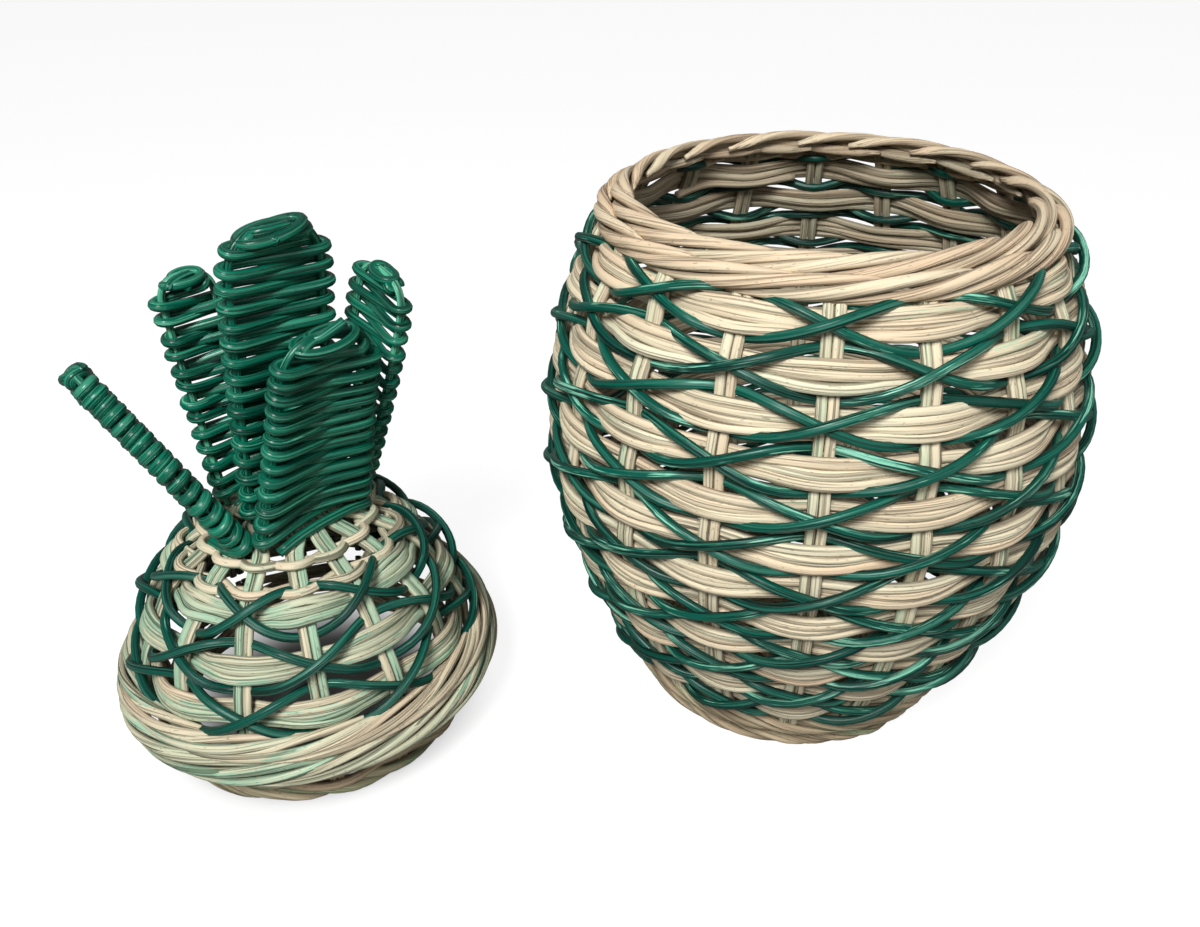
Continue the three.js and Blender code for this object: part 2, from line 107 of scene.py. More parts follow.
class Shading:
    """Lays shader nodes in one tree and joins them."""

    def __init__(self, tree: bpy.types.NodeTree) -> None:
        """Works in the given tree."""
        self.tree = tree

    def node(self, kind: str, **settings: object) -> bpy.types.Node:
        """Adds a node of a kind, with its settings."""
        made = self.tree.nodes.new(kind)
        for key, value in settings.items():
            setattr(made, key, value)
        return made

    def feed(self, socket: Socket, value: object) -> None:
        """Joins a socket to another one, or sets its value."""
        if isinstance(value, bpy.types.NodeSocket):
            self.tree.links.new(value, socket)
        else:
            socket.default_value = value

    def math(self, operation: str, *values: object) -> Socket:
        """Adds a sum, product or like operation on one to three values."""
        made = self.node("ShaderNodeMath", operation=operation)
        for socket, value in zip(made.inputs, values):
            self.feed(socket, value)
        return made.outputs[0]

    def blend(self, share: object, first: object, second: object) -> Socket:
        """Mixes two colours by a share from 0 to 1."""
        made = self.node("ShaderNodeMix", data_type="RGBA")
        for name, value in (("Factor_Float", share), ("A_Color", first), ("B_Color", second)):
            found = next(socket for socket in made.inputs if socket.identifier == name)
            self.feed(found, value)
        return next(socket for socket in made.outputs if socket.identifier == "Result_Color")

    def noise(self, vector: Socket, along: float, across: float, detail: float = 2.0) -> Socket:
        """Adds noise that is drawn out along a reed.

        Args:
            vector: Place on the reed, its first part along it.
            along: Features in a metre along the reed.
            across: Features in a metre across it.
            detail: How much finer noise is laid over it.

        Returns:
            The noise, about 0.3 to 0.7.
        """
        stretched = self.node("ShaderNodeVectorMath", operation="MULTIPLY")
        self.feed(stretched.inputs[0], vector)
        self.feed(stretched.inputs[1], (along, across, across))
        made = self.node("ShaderNodeTexNoise")
        self.feed(made.inputs["Vector"], stretched.outputs[0])
        self.feed(made.inputs["Scale"], 1.0)
        self.feed(made.inputs["Detail"], detail)
        return made.outputs["Fac"]

    def span(self, value: object, low: object, high: object, top: float = 1.0) -> Socket:
        """Spreads a value between low and high smoothly over 0 to top."""
        made = self.node("ShaderNodeMapRange", interpolation_type="SMOOTHSTEP")
        for name, number in (("Value", value), ("From Min", low), ("From Max", high), ("To Max", top)):
            self.feed(made.inputs[name], number)
        return made.outputs["Result"]

    def split(self, vector: Socket) -> list[Socket]:
        """Takes a vector apart into its three parts."""
        made = self.node("ShaderNodeSeparateXYZ")
        self.feed(made.inputs[0], vector)
        return list(made.outputs)


def blank_material(name: str) -> tuple[bpy.types.Material, Shading]:
    """Makes a material with no nodes yet, and a hand that lays them."""
    made = bpy.data.materials.new(name)
    made.use_nodes = True
    made.node_tree.nodes.clear()
    return made, Shading(made.node_tree)


class ShaderGroup:
    """A node group with named inputs and outputs, shared by the finishes."""

    def __init__(self, name: str, inputs: dict[str, float | None], outputs: Sequence[str]) -> None:
        """Makes an empty group.

        Args:
            name: The group's name.
            inputs: Each input's first value, or None for a vector.
            outputs: The names of the outputs.
        """
        self.tree = bpy.data.node_groups.new(name, "ShaderNodeTree")
        for key, value in inputs.items():
            kind = "NodeSocketVector" if value is None else "NodeSocketFloat"
            socket = self.tree.interface.new_socket(name=key, in_out="INPUT", socket_type=kind)
            if value is not None:
                socket.default_value = value
        for key in outputs:
            self.tree.interface.new_socket(name=key, in_out="OUTPUT", socket_type="NodeSocketFloat")
        self.shading = Shading(self.tree)
        self.given = self.shading.node("NodeGroupInput").outputs
        self.result = self.shading.node("NodeGroupOutput").inputs


def grain_and_shade_group() -> bpy.types.NodeTree:
    """Makes the group for a reed's fibres, and for the painted shade on its flanks.

    Returns:
        A group that gives the fine dark lines along a reed, the pale streaks between them,
        its few long cracks, the slow drift of its colour, small specks, the height of its
        ribs, and a mask of painted shade on its flanks and inner side, where its neighbours would shade
        it.
    """
    outputs = ("Lines", "Streaks", "Cracks", "Drift", "Specks", "Height", "FlankShade")
    group = ShaderGroup("reed_grain_and_shade", {"Place": None}, outputs)
    shading, place = group.shading, group.given["Place"]
    fibres = shading.noise(place, 20, 1700, 3)
    ribs = shading.noise(place, 8, 950, 1)
    pale = shading.noise(place, 15, 1250, 2)
    splits = shading.noise(place, 11, 620, 1)
    drift = shading.noise(place, 17, 160, 2)
    specks = shading.noise(place, 420, 1300, 1)
    lines = shading.span(fibres, 0.5, 0.66)
    cracks = shading.span(splits, 0.61, 0.66)
    shading.feed(group.result["Lines"], lines)
    shading.feed(group.result["Streaks"], shading.span(pale, 0.5, 0.6))
    shading.feed(group.result["Cracks"], cracks)
    shading.feed(group.result["Drift"], shading.span(drift, 0.32, 0.68))
    shading.feed(group.result["Specks"], shading.span(specks, 0.67, 0.73))
    line_depth, crack_depth = 0.35, 0.6
    deep = shading.math("MULTIPLY", cracks, crack_depth)
    sunk = shading.math("MULTIPLY_ADD", lines, line_depth, deep)
    shading.feed(group.result["Height"], shading.math("SUBTRACT", ribs, sunk))
    # Painted shade: a reed's flanks and inner side are darkened where its neighbours would shade it,
    # which also darkens the basket's inside.
    _, out, side = shading.split(place)
    turned = shading.math("ABSOLUTE", shading.math("ARCTAN2", side, out))
    outer_face, flank = 0.95, 1.6  # angles round the reed from its outermost line
    shading.feed(group.result["FlankShade"], shading.span(turned, outer_face, flank))
    return group.tree


def patch_group() -> bpy.types.NodeTree:
    """Makes the group for patches of dye, or of worn dye, along a reed.

    Returns:
        A group that gives a mask of patches, which grow with Amount.
    """
    group = ShaderGroup("dye_patches", {"Place": None, "Amount": 0.5}, ("Mask",))
    shading = group.shading
    broad = shading.noise(group.given["Place"], 30, 300, 2)
    fine = shading.noise(group.given["Place"], 90, 1900, 2)
    frayed = 0.42  # share of the fine noise, which frays a patch's edge
    rough = shading.math("MULTIPLY_ADD", fine, frayed, shading.math("MULTIPLY", broad, 1 - frayed))
    none, reach, blur = 0.76, 0.52, 0.025  # edge with no patches, its fall to all, its softness
    edge = shading.math("SUBTRACT", none, shading.math("MULTIPLY", group.given["Amount"], reach))
    low = shading.math("SUBTRACT", edge, blur)
    high = shading.math("ADD", edge, blur)
    shading.feed(group.result["Mask"], shading.span(rough, low, high))
    return group.tree


@dataclass(frozen=True)
class ReedFinish:
    """The look of one kind of reed. Colours are as seen on a screen, 0 to 1.

    Attributes:
        slot: The record's material slot.
        plain: Colour of most reeds.
        warm: Colour that some reeds lean to.
        groove_and_shade: Colour between the fibres, and of the painted shade on the flanks and the
            inner side.
        patch: Colour of dyed or worn patches.
        roughness: Roughness of the surface.
        coat: Weight of the varnish.
        ribs: Height of the ribs, in metres.
        streaks: How strongly the patch colour shows in fine streaks.
        lines: How dark the fine lines are.
        painted_flank_shade: How dark the painted shade on the flanks and the inner side is.
    """

    slot: Slot
    plain: Colour
    warm: Colour
    groove_and_shade: Colour
    patch: Colour
    roughness: float
    coat: float
    ribs: float
    streaks: float
    lines: float
    painted_flank_shade: float

    def material(self, grain: bpy.types.NodeTree, patches: bpy.types.NodeTree) -> bpy.types.Material:
        """Makes the finish as a node material.

        Args:
            grain: The shared group for fibres, and for the painted shade on the flanks.
            patches: The shared group for patches.

        Returns:
            The material.
        """
        made, shading = blank_material(self.slot.value)
        place = shading.node("ShaderNodeAttribute", attribute_name="fibre").outputs["Vector"]
        look = shading.node("ShaderNodeAttribute", attribute_name="look").outputs["Vector"]
        tone, tint, wear = shading.split(look)
        fibres = shading.node("ShaderNodeGroup", node_tree=grain)
        shading.feed(fibres.inputs["Place"], place)
        dyed = shading.node("ShaderNodeGroup", node_tree=patches)
        shading.feed(dyed.inputs["Place"], place)
        shading.feed(dyed.inputs["Amount"], wear)

        drifted = shading.math("ADD", tone, fibres.outputs["Drift"])
        warmth = shading.math("MULTIPLY", drifted, 0.5)
        colour = shading.blend(warmth, linear(self.plain), linear(self.warm))
        covered = shading.math("MAXIMUM", tint, dyed.outputs["Mask"])
        opacity = 0.92
        patched = shading.math("MULTIPLY", covered, opacity)
        colour = shading.blend(patched, colour, linear(self.patch))
        streaked = shading.math("MULTIPLY", fibres.outputs["Streaks"], self.streaks)
        colour = shading.blend(streaked, colour, linear(self.patch))
        new_crack, worn_crack, darkest = 0.2, 1.1, 0.75  # cracks darken with wear, up to a limit
        cracked = shading.math("MULTIPLY_ADD", wear, worn_crack, new_crack)
        cracked = shading.math("MINIMUM", cracked, darkest)
        specks = 0.4
        # Dark marks: the fine lines, cracks and specks are the reed's own; the flanks' mark is painted
        # shade.
        marks = (
            ("Lines", self.lines), ("Cracks", cracked), ("Specks", specks), ("FlankShade", self.painted_flank_shade),
        )
        for name, depth in marks:
            marked = shading.math("MULTIPLY", fibres.outputs[name], depth)
            colour = shading.blend(marked, colour, linear(self.groove_and_shade))

        surface = shading.node("ShaderNodeBsdfPrincipled")
        shading.feed(surface.inputs["Base Color"], colour)
        dulled = 0.12  # how much rougher a patch is
        worn = shading.math("MULTIPLY", dyed.outputs["Mask"], dulled)
        rough = shading.math("ADD", self.roughness, worn)
        shading.feed(surface.inputs["Roughness"], rough)
        surface.inputs["Coat Weight"].default_value = self.coat
        surface.inputs["Coat Roughness"].default_value = 0.24
        surface.inputs["Specular IOR Level"].default_value = 0.2
        bump = shading.node("ShaderNodeBump")
        bump.inputs["Strength"].default_value = 0.7
        bump.inputs["Distance"].default_value = self.ribs
        shading.feed(bump.inputs["Height"], fibres.outputs["Height"])
        shading.feed(surface.inputs["Normal"], bump.outputs["Normal"])
        output = shading.node("ShaderNodeOutputMaterial")
        shading.feed(output.inputs["Surface"], surface.outputs["BSDF"])
        return made


# Each finish's last number sets how dark the painted shade on its reeds' flanks and inner side is.
FINISHES = (
    ReedFinish(
        Slot.NATURAL, plain=(0.88, 0.86, 0.75), warm=(0.86, 0.76, 0.64),
        groove_and_shade=(0.28, 0.23, 0.16), patch=(0.72, 0.79, 0.66),
        roughness=0.66, coat=0.03, ribs=0.0006, streaks=0.06, lines=0.6, painted_flank_shade=0.45,
    ),
    ReedFinish(
        Slot.MINT, plain=(0.79, 0.79, 0.68), warm=(0.86, 0.77, 0.66),
        groove_and_shade=(0.18, 0.22, 0.14), patch=(0.59, 0.73, 0.62),
        roughness=0.64, coat=0.04, ribs=0.0006, streaks=0.12, lines=0.62, painted_flank_shade=0.42,
    ),
    ReedFinish(
        Slot.GREEN, plain=(0.0, 0.27, 0.225), warm=(0.0, 0.35, 0.285),
        groove_and_shade=(0.0, 0.06, 0.05), patch=(0.52, 0.80, 0.69),
        roughness=0.38, coat=0.16, ribs=0.001, streaks=0.12, lines=0.85, painted_flank_shade=0.45,
    ),
    ReedFinish(
        Slot.LEAF, plain=(0.0, 0.31, 0.24), warm=(0.0, 0.44, 0.34),
        groove_and_shade=(0.0, 0.08, 0.06), patch=(0.36, 0.72, 0.58),
        roughness=0.33, coat=0.32, ribs=0.0011, streaks=0.3, lines=0.8, painted_flank_shade=0.0,
    ),
    # The base reed's colours are darker than the natural reed's: painted shade for the foot and the
    # collar, which stand low and under the brim.
    ReedFinish(
        Slot.BASE, plain=(0.72, 0.68, 0.56), warm=(0.72, 0.63, 0.52),
        groove_and_shade=(0.26, 0.21, 0.14), patch=(0.52, 0.60, 0.46),
        roughness=0.68, coat=0.02, ribs=0.0005, streaks=0.08, lines=0.5, painted_flank_shade=0.4,
    ),
)


def waver(rng: np.random.Generator, ring: np.ndarray, size: float, waves: Sequence[int]) -> np.ndarray:
    """Gives a smooth uneven wave that closes on itself round a ring.

    Args:
        rng: Seeded source of the wave's shape.
        ring: Angles round the ring, in radians.
        size: About half the height of the wave.
        waves: How many times each part of it goes up and down round the ring.

    Returns:
        The wave at each angle.
    """
    total = np.zeros_like(ring)
    for count in waves:
        total += rng.normal() * np.cos(count * ring + rng.uniform(0, TAU))
    return total * size / math.sqrt(len(waves))


def smoothed(values: np.ndarray, width: int, closed: bool) -> np.ndarray:
    """Rounds a path's corners with a moving average.

    Args:
        values: One row for each step.
        width: Steps that are averaged, an odd number.
        closed: Whether the last step is followed by the first.

    Returns:
        The rounded values. The ends of an open path stay where they are.
    """
    reach = width // 2
    kernel = np.hanning(width + 2)[1:-1]
    kernel /= kernel.sum()
    columns = values.reshape(len(values), -1)
    if closed:
        padded = np.concatenate([columns[-reach:], columns, columns[:reach]])
    else:
        first = 2 * columns[0] - columns[1 : reach + 1][::-1]
        last = 2 * columns[-1] - columns[-reach - 1 : -1][::-1]
        padded = np.concatenate([first, columns, last])
    made = [np.convolve(column, kernel, mode="valid") for column in padded.T]
    return np.stack(made, axis=1).reshape(values.shape)


def unit(vectors: np.ndarray) -> np.ndarray:
    """Scales each vector to length one."""
    lengths = np.linalg.norm(vectors, axis=-1, keepdims=True)
    return vectors / np.maximum(lengths, 1e-9)


def step_between(value: np.ndarray, low: float, high: float) -> np.ndarray:
    """Rises smoothly from 0 at low to 1 at high."""
    share = np.clip((value - low) / (high - low), 0, 1)
    return share * share * (3 - 2 * share)


class TubeForm:
    """The bare mesh of a tube, and where each of its vertices and corners lies on it.

    A closed tube is a circle spun into a ring, and an open one is a cylinder cut across.
    Forms are kept, because many reeds have the same number of steps and sides.
    """

    kept: dict[tuple[int, int, bool], TubeForm] = {}
    ring = 4.0  # radius of the ring that a closed form is spun on, for a section of radius 1

    def __init__(self, steps: int, sides: int, closed: bool) -> None:
        """Builds a form.

        Args:
            steps: Sections along the tube.
            sides: Corners of a section.
            closed: Whether the tube's ends meet.
        """
        self.steps, self.closed = steps, closed
        shape = bmesh.new()
        if closed:
            self._spin(shape, sides)
        else:
            self._cut(shape, sides)
        bmesh.ops.recalc_face_normals(shape, faces=shape.faces)
        self.mesh = bpy.data.meshes.new("tube_form")
        shape.to_mesh(self.mesh)
        shape.free()
        self._measure()

    @classmethod
    def get(cls, steps: int, sides: int, closed: bool) -> TubeForm:
        """Gives a form, made once for each set of numbers."""
        key = (steps, sides, closed)
        if key not in cls.kept:
            cls.kept[key] = cls(*key)
        return cls.kept[key]

    @classmethod
    def clear(cls) -> None:
        """Removes the kept forms' meshes."""
        for form in cls.kept.values():
            bpy.data.meshes.remove(form.mesh)
        cls.kept.clear()

    def _spin(self, shape: bmesh.types.BMesh, sides: int) -> None:
        """Spins a circle once round the axis."""
        bmesh.ops.create_circle(shape, segments=sides, radius=1.0)
        upright = Matrix.Rotation(QUARTER, 3, "X")
        bmesh.ops.rotate(shape, verts=shape.verts, cent=(0, 0, 0), matrix=upright)
        bmesh.ops.translate(shape, verts=shape.verts, vec=(self.ring, 0, 0))
        bmesh.ops.spin(
            shape, geom=shape.verts[:] + shape.edges[:], cent=(0, 0, 0), axis=(0, 0, 1),
            angle=TAU, steps=self.steps, use_merge=True,
        )

    def _cut(self, shape: bmesh.types.BMesh, sides: int) -> None:
        """Cuts a cylinder across into equal steps."""
        bmesh.ops.create_cone(
            shape, cap_ends=True, segments=sides, radius1=1.0, radius2=1.0, depth=self.steps - 1,
        )
        middle = 0.5
        long = [e for e in shape.edges if abs(e.verts[0].co.z - e.verts[1].co.z) > middle]
        bmesh.ops.subdivide_edges(shape, edges=long, cuts=self.steps - 2)

    def _measure(self) -> None:
        """Works out each vertex's step along the tube and angle round it."""
        count = len(self.mesh.vertices)
        flat = np.empty(count * 3, np.float32)
        self.mesh.vertices.foreach_get("co", flat)
        x, y, z = flat.reshape(count, 3).T.astype(float)
        if self.closed:
            share = np.arctan2(y, x) / TAU
            self.step = np.round(share * self.steps).astype(int) % self.steps
            self.turn = np.arctan2(z, np.hypot(x, y) - self.ring)
        else:
            self.step = np.round(z + (self.steps - 1) / 2).astype(int)
            self.turn = np.arctan2(-y, x)
        corners = np.empty(len(self.mesh.loops), np.int32)
        self.mesh.loops.foreach_get("vertex_index", corners)
        self.corner = corners
        self.corner_step = self.step[corners].astype(float)
        if self.closed:
            totals = np.empty(len(self.mesh.polygons), np.int32)
            self.mesh.polygons.foreach_get("loop_total", totals)
            faces = np.repeat(np.arange(len(totals)), totals)
            furthest = np.zeros(len(totals))
            np.maximum.at(furthest, faces, self.corner_step)
            behind = furthest[faces] - self.corner_step > self.steps / 2
            self.corner_step[behind] += self.steps


@dataclass
class Look:
    """How one reed differs from the others of its finish.

    Attributes:
        tone: From 0, plain, to 1, warm.
        tint: From 0, none, to 1, dyed all over with the patch colour.
        wear: From 0, no patches, to 1, nearly all patches.
    """

    tone: float = 0.5
    tint: float = 0.0
    wear: float = 0.0


@dataclass
class Strand:
    """One reed along its path, in millimetres.

    Attributes:
        points: Middle of the reed at each step.
        normals: A direction across the reed at each step.
        radius: Radius of the reed, or one for each step.
        look: How its colour differs.
        closed: Whether its ends meet.
        sides: Corners of its section.
        flat: Its thickness along the normal over its width.
        square: From 1, a round section, down towards 0, a square one.
    """

    points: np.ndarray
    normals: np.ndarray
    radius: float | np.ndarray
    look: Look
    closed: bool = True
    sides: int = 10
    flat: float = 1.0
    square: float = 1.0

    def section(self, turn: np.ndarray) -> tuple[np.ndarray, np.ndarray]:
        """Gives the section's reach along the normal and across it, at angles round it."""
        sides = [np.sign(part) * np.abs(part) ** self.square for part in (np.cos(turn), np.sin(turn))]
        return sides[0] * self.flat, sides[1]

    def frames(self) -> tuple[np.ndarray, np.ndarray]:
        """Gives two directions across the reed at each step, square to its path."""
        if self.closed:
            along = np.roll(self.points, -1, axis=0) - np.roll(self.points, 1, axis=0)
        else:
            along = np.gradient(self.points, axis=0)
        along = unit(along)
        shadow = np.sum(self.normals * along, axis=1, keepdims=True)
        normals = unit(self.normals - along * shadow)
        return normals, np.cross(normals, along)

    def lengths(self) -> np.ndarray:
        """Gives the length along the reed at each step, and once more where it closes."""
        path = np.concatenate([self.points, self.points[:1]]) if self.closed else self.points
        spans = np.linalg.norm(np.diff(path, axis=0), axis=1)
        return np.concatenate([[0.0], np.cumsum(spans)])


class ReedPiece:
    """One named piece, made of reeds of one finish."""

    count = 0

    def __init__(self, name: str, body: Body, slot: Slot, nodes: Sequence[str] = ()) -> None:
        """Starts an empty piece.

        Args:
            name: The piece's name.
            body: The body that it rides on.
            slot: The slot of its finish.
            nodes: The solids that it stands for.
        """
        self.name, self.body, self.slot, self.nodes = name, body, slot, tuple(nodes)
        self.strands: list[Strand] = []

    def build(self, materials: dict[Slot, bpy.types.Material]) -> bpy.types.Object:
        """Makes the piece's mesh and gives it to its body.

        Args:
            materials: The finishes, by slot.

        Returns:
            The finished object.
        """
        shape = bmesh.new()
        places, fibres, looks = [], [], []
        for strand in self.strands:
            form = TubeForm.get(len(strand.points), strand.sides, strand.closed)
            shape.from_mesh(form.mesh)
            first, second = strand.frames()
            radius = np.broadcast_to(np.asarray(strand.radius, float), (len(strand.points),))
            out, side = (radius[form.step] * part for part in strand.section(form.turn))
            spot = strand.points[form.step] + first[form.step] * out[:, None]
            places.append(spot + second[form.step] * side[:, None])
            ReedPiece.count += 1
            offset = 1.37 * ReedPiece.count  # so that no two reeds have the same grain
            along = strand.lengths()[form.corner_step.astype(int)] * MM + offset
            fibre = [along, out[form.corner] * MM, side[form.corner] * MM]
            fibres.append(np.stack(fibre, axis=1))
            look = [strand.look.tone, strand.look.tint, strand.look.wear]
            looks.append(np.tile(look, (len(form.corner), 1)))
        mesh = bpy.data.meshes.new(self.name)
        shape.to_mesh(mesh)
        shape.free()
        mesh.vertices.foreach_set("co", (np.concatenate(places) * MM).astype(np.float32).ravel())
        for name, values in (("fibre", fibres), ("look", looks)):
            layer = mesh.attributes.new(name, "FLOAT_VECTOR", "CORNER")
            layer.data.foreach_set("vector", np.concatenate(values).astype(np.float32).ravel())
        mesh.shade_smooth()
        mesh.update()
        mesh.materials.append(materials[self.slot])
        made = bpy.data.objects.new(self.name, mesh)
        bpy.context.scene.collection.objects.link(made)
        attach(made, self.body.value)
        if self.nodes:
            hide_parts(*self.nodes)
        LOG.info("%s: %d reeds, %d faces", self.name, len(self.strands), len(mesh.polygons))
        return made


class Outline:
    """The middle of a woven wall, a surface of revolution measured along its outline."""

    def __init__(self, axis: Sequence[float], radii: np.ndarray, heights: np.ndarray) -> None:
        """Measures an outline.

        Args:
            axis: Where the wall's axis stands.
            radii: Radius at each point, from the bottom up.
            heights: Height at each point.
        """
        self.axis = np.array([axis[0], axis[1], 0.0])
        self.radii, self.heights = radii, heights
        spans = np.hypot(np.diff(radii), np.diff(heights))
        self.lengths = np.concatenate([[0.0], np.cumsum(spans)])
        self.rise = np.gradient(heights, self.lengths)
        self.spread = np.gradient(radii, self.lengths)

    def at_height(self, height: float) -> float:
        """Gives the length along the outline at a height."""
        return float(np.interp(height, self.heights, self.lengths))

    def at_radius(self, radius: np.ndarray) -> np.ndarray:
        """Gives the length along an outline that only draws in, at a radius."""
        return np.interp(-radius, -self.radii, self.lengths)

    def place(
        self, angle: np.ndarray, length: np.ndarray, offset: np.ndarray,
    ) -> tuple[np.ndarray, np.ndarray]:
        """Finds places on the wall.

        Args:
            angle: Angle round the axis.
            length: Length along the outline.
            offset: Distance outwards from the middle of the wall.

        Returns:
            The points, and the wall's outward direction at each.
        """
        angle, length, offset = np.broadcast_arrays(angle, length, offset)
        radius = np.interp(length, self.lengths, self.radii)
        height = np.interp(length, self.lengths, self.heights)
        out = np.interp(length, self.lengths, self.rise)
        up = -np.interp(length, self.lengths, self.spread)
        size = np.maximum(np.hypot(out, up), 1e-9)
        out, up = out / size, up / size
        reach = radius + offset * out
        east, north = np.cos(angle), np.sin(angle)
        points = np.stack([east * reach, north * reach, height + offset * up], axis=-1)
        normals = np.stack([east * out, north * out, up], axis=-1)
        return points + self.axis, normals


@dataclass
class Weave:
    """Stakes round a wall, with rows and strands going in and out of them.

    Attributes:
        outline: The wall.
        stakes: Number of stakes, each two reeds side by side.
        turn: Angle of the front stake from straight ahead.
        first_row: Place of the top row along the wall.
        pitch: From one row to the next along the wall.
        shift: Added to a row's number to find the stakes that it goes in front of.
        reed: Radius of the rows' reeds.
        strand: Radius of the green strand.
        plump: How much a row's reeds are pressed into each other.
        row_reach: From the middle of the wall to a row in front of a stake.
        sway: How far a row pushes a stake aside.
        behind: Offset of a green strand behind a stake.
        inner: Offset of a green strand across a stake.
        outer: Offset of another one over it.
        detail: Steps from one stake to the next.
    """

    outline: Outline
    stakes: int
    turn: float
    first_row: float
    pitch: float
    shift: int
    reed: float = 1.65
    strand: float = 1.6
    plump: float = 1.12
    row_reach: float = 2.1
    sway: float = 0.8
    behind: float = -2.8
    inner: float = 3.2
    outer: float = 5.8
    detail: int = 8

    def angle(self, stake: np.ndarray | float) -> np.ndarray | float:
        """Gives the angle of a place counted in stakes from the front one."""
        return self.turn - QUARTER + stake * TAU / self.stakes

    def level(self, row: float) -> float:
        """Gives a row's place along the wall."""
        return self.first_row - (row - 1) * self.pitch

    def row(
        self, row: int, reeds: int, looks: Sequence[Look], rng: np.random.Generator,
    ) -> list[Strand]:
        """Lays one row of reeds, in front of every other stake.

        Args:
            row: Number of the row, from the top.
            reeds: Reeds that lie side by side in it.
            looks: One for each reed, from the lowest up.
            rng: Seeded source of its unevenness.

        Returns:
            The reeds.
        """
        steps = self.stakes * self.detail
        covered = (row + self.shift + 1) % 2  # it starts where a stake hides it from outside
        stake = covered + np.arange(steps) / self.detail
        ring = TAU * stake / self.stakes
        swing = np.cos(math.pi * (stake + row + self.shift))
        front = 0.5 + 0.5 * swing
        room = 3.15  # widths of full reeds that a row has room for
        radius = self.reed * min(1.0, room / reeds)
        beside, in_front, at_stake = 0.74, 0.16, 0.11  # the reeds' spacing, over their width
        spread = beside + in_front * front**0.6 + at_stake * np.abs(swing)
        tuck = 1.4  # how far every second reed lies back where the row is behind
        sag = waver(rng, ring, 0.25, (2, 3, 5))
        made = []
        for reed, look in zip(range(reeds), looks):
            place = reed - (reeds - 1) / 2
            fan = spread + waver(rng, ring, 0.035, (7, 11, 16))
            along = self.level(row) + sag + place * 2 * radius * fan
            along = along + waver(rng, ring, 0.16, (9, 14, 23))
            tucked = -tuck * (1 - front) * (reed % 2)
            offset = self.row_reach * swing + tucked + waver(rng, ring, 0.2, (5, 9, 17))
            points, normals = self.outline.place(self.angle(stake), along, offset)
            girth = radius * self.plump * (1 + waver(rng, ring, 0.04, (4, 7, 13)))
            made.append(Strand(points, normals, girth, look, flat=0.86, square=0.88))
        return made

    def splice(self, row: int, start: float, ends: float, look: Look) -> Strand:
        """Lays a short reed where one in a row ends and the next begins, on the inside.

        Args:
            row: Number of the row.
            start: Stake where it starts.
            ends: Stakes that it passes.
            look: Its look.

        Returns:
            The reed, with its end standing a little out of the row.
        """
        stake = np.linspace(start, start + ends, 26)
        swing = np.cos(math.pi * (stake + row + self.shift))
        inwards, below, tip_length = 2.2, 2.4, 0.7
        last = step_between(stake, start + ends - tip_length, start + ends)
        tip_inwards, tip_below = 1.6, 2.2
        offset = self.row_reach * swing - inwards - tip_inwards * last
        along = self.level(row) - below - tip_below * last
        points, normals = self.outline.place(self.angle(stake), along, offset)
        return Strand(points, normals, self.reed, look, closed=False)

    def green(self, row: int, look: Look, rng: np.random.Generator) -> Strand:
        """Lays the green strand of a row, which goes round twice.

        Args:
            row: Number of the row.
            look: Its look.
            rng: Seeded source of its unevenness.

        Returns:
            The strand, behind a stake above or below the row where the row is in front, and
            crossing itself over the stake where the row is behind.
        """
        steps = 2 * self.stakes * self.detail
        stake = np.arange(steps) / self.detail
        ring = TAU * stake / (2 * self.stakes)
        level = self.level(row) + self.pitch / 2 * np.cos(QUARTER * stake)
        level = level + waver(rng, ring, 0.75, (5, 8, 13, 21))
        places = [0, 0.1, 0.42, 0.64, 1, 1.36, 1.58, 1.9]  # in stakes, from one that it is behind
        keys = places + [2 + place for place in places] + [4]
        row_edge, row_face = 2.8, 3.6  # offsets where it passes the row's edge and lies over it
        near = [self.behind, self.behind, row_edge, row_face, self.inner]
        near += [row_face, row_edge, self.behind]
        over = (self.inner + self.outer) / 2
        far_edge = 3.2
        far = [self.behind, self.behind, far_edge, over, self.outer]
        far += [over, far_edge, self.behind, self.behind]
        offset = np.interp(stake % 4, keys, near + far)
        offset = smoothed(offset, 7, closed=True) + waver(rng, ring, 0.1, (7, 17))
        start = (row + self.shift) % 2
        points, normals = self.outline.place(self.angle(stake + start), level, offset)
        girth = self.strand * (1 + waver(rng, ring, 0.03, (6, 11, 19)))
        return Strand(points, normals, girth, look)

    def stake(
        self, number: int, low: float, high: float, looks: Sequence[Look], radius: float,
    ) -> list[Strand]:
        """Lays one stake, two reeds side by side, swaying in and out between the rows.

        Args:
            number: Which stake, from 0 at the front.
            low: Lower end, along the wall.
            high: Upper end.
            looks: The two reeds' looks.
            radius: Their radius.

        Returns:
            The two reeds.
        """
        step, gap = 3.2, 0.04  # from point to point along it, and half the gap between the two
        along = np.linspace(low, high, int((high - low) / step) + 2)
        row = (self.first_row - along) / self.pitch + 1
        offset = -self.sway * np.cos(math.pi * (number + row + self.shift))
        around = np.interp(along, self.outline.lengths, self.outline.radii)
        made = []
        for side, look in zip((-1, 1), looks):
            angle = self.angle(number) + side * (radius + gap) / around
            points, normals = self.outline.place(angle, along, offset)
            made.append(Strand(points, normals, radius, look, closed=False, flat=0.76, square=0.82))
        return made


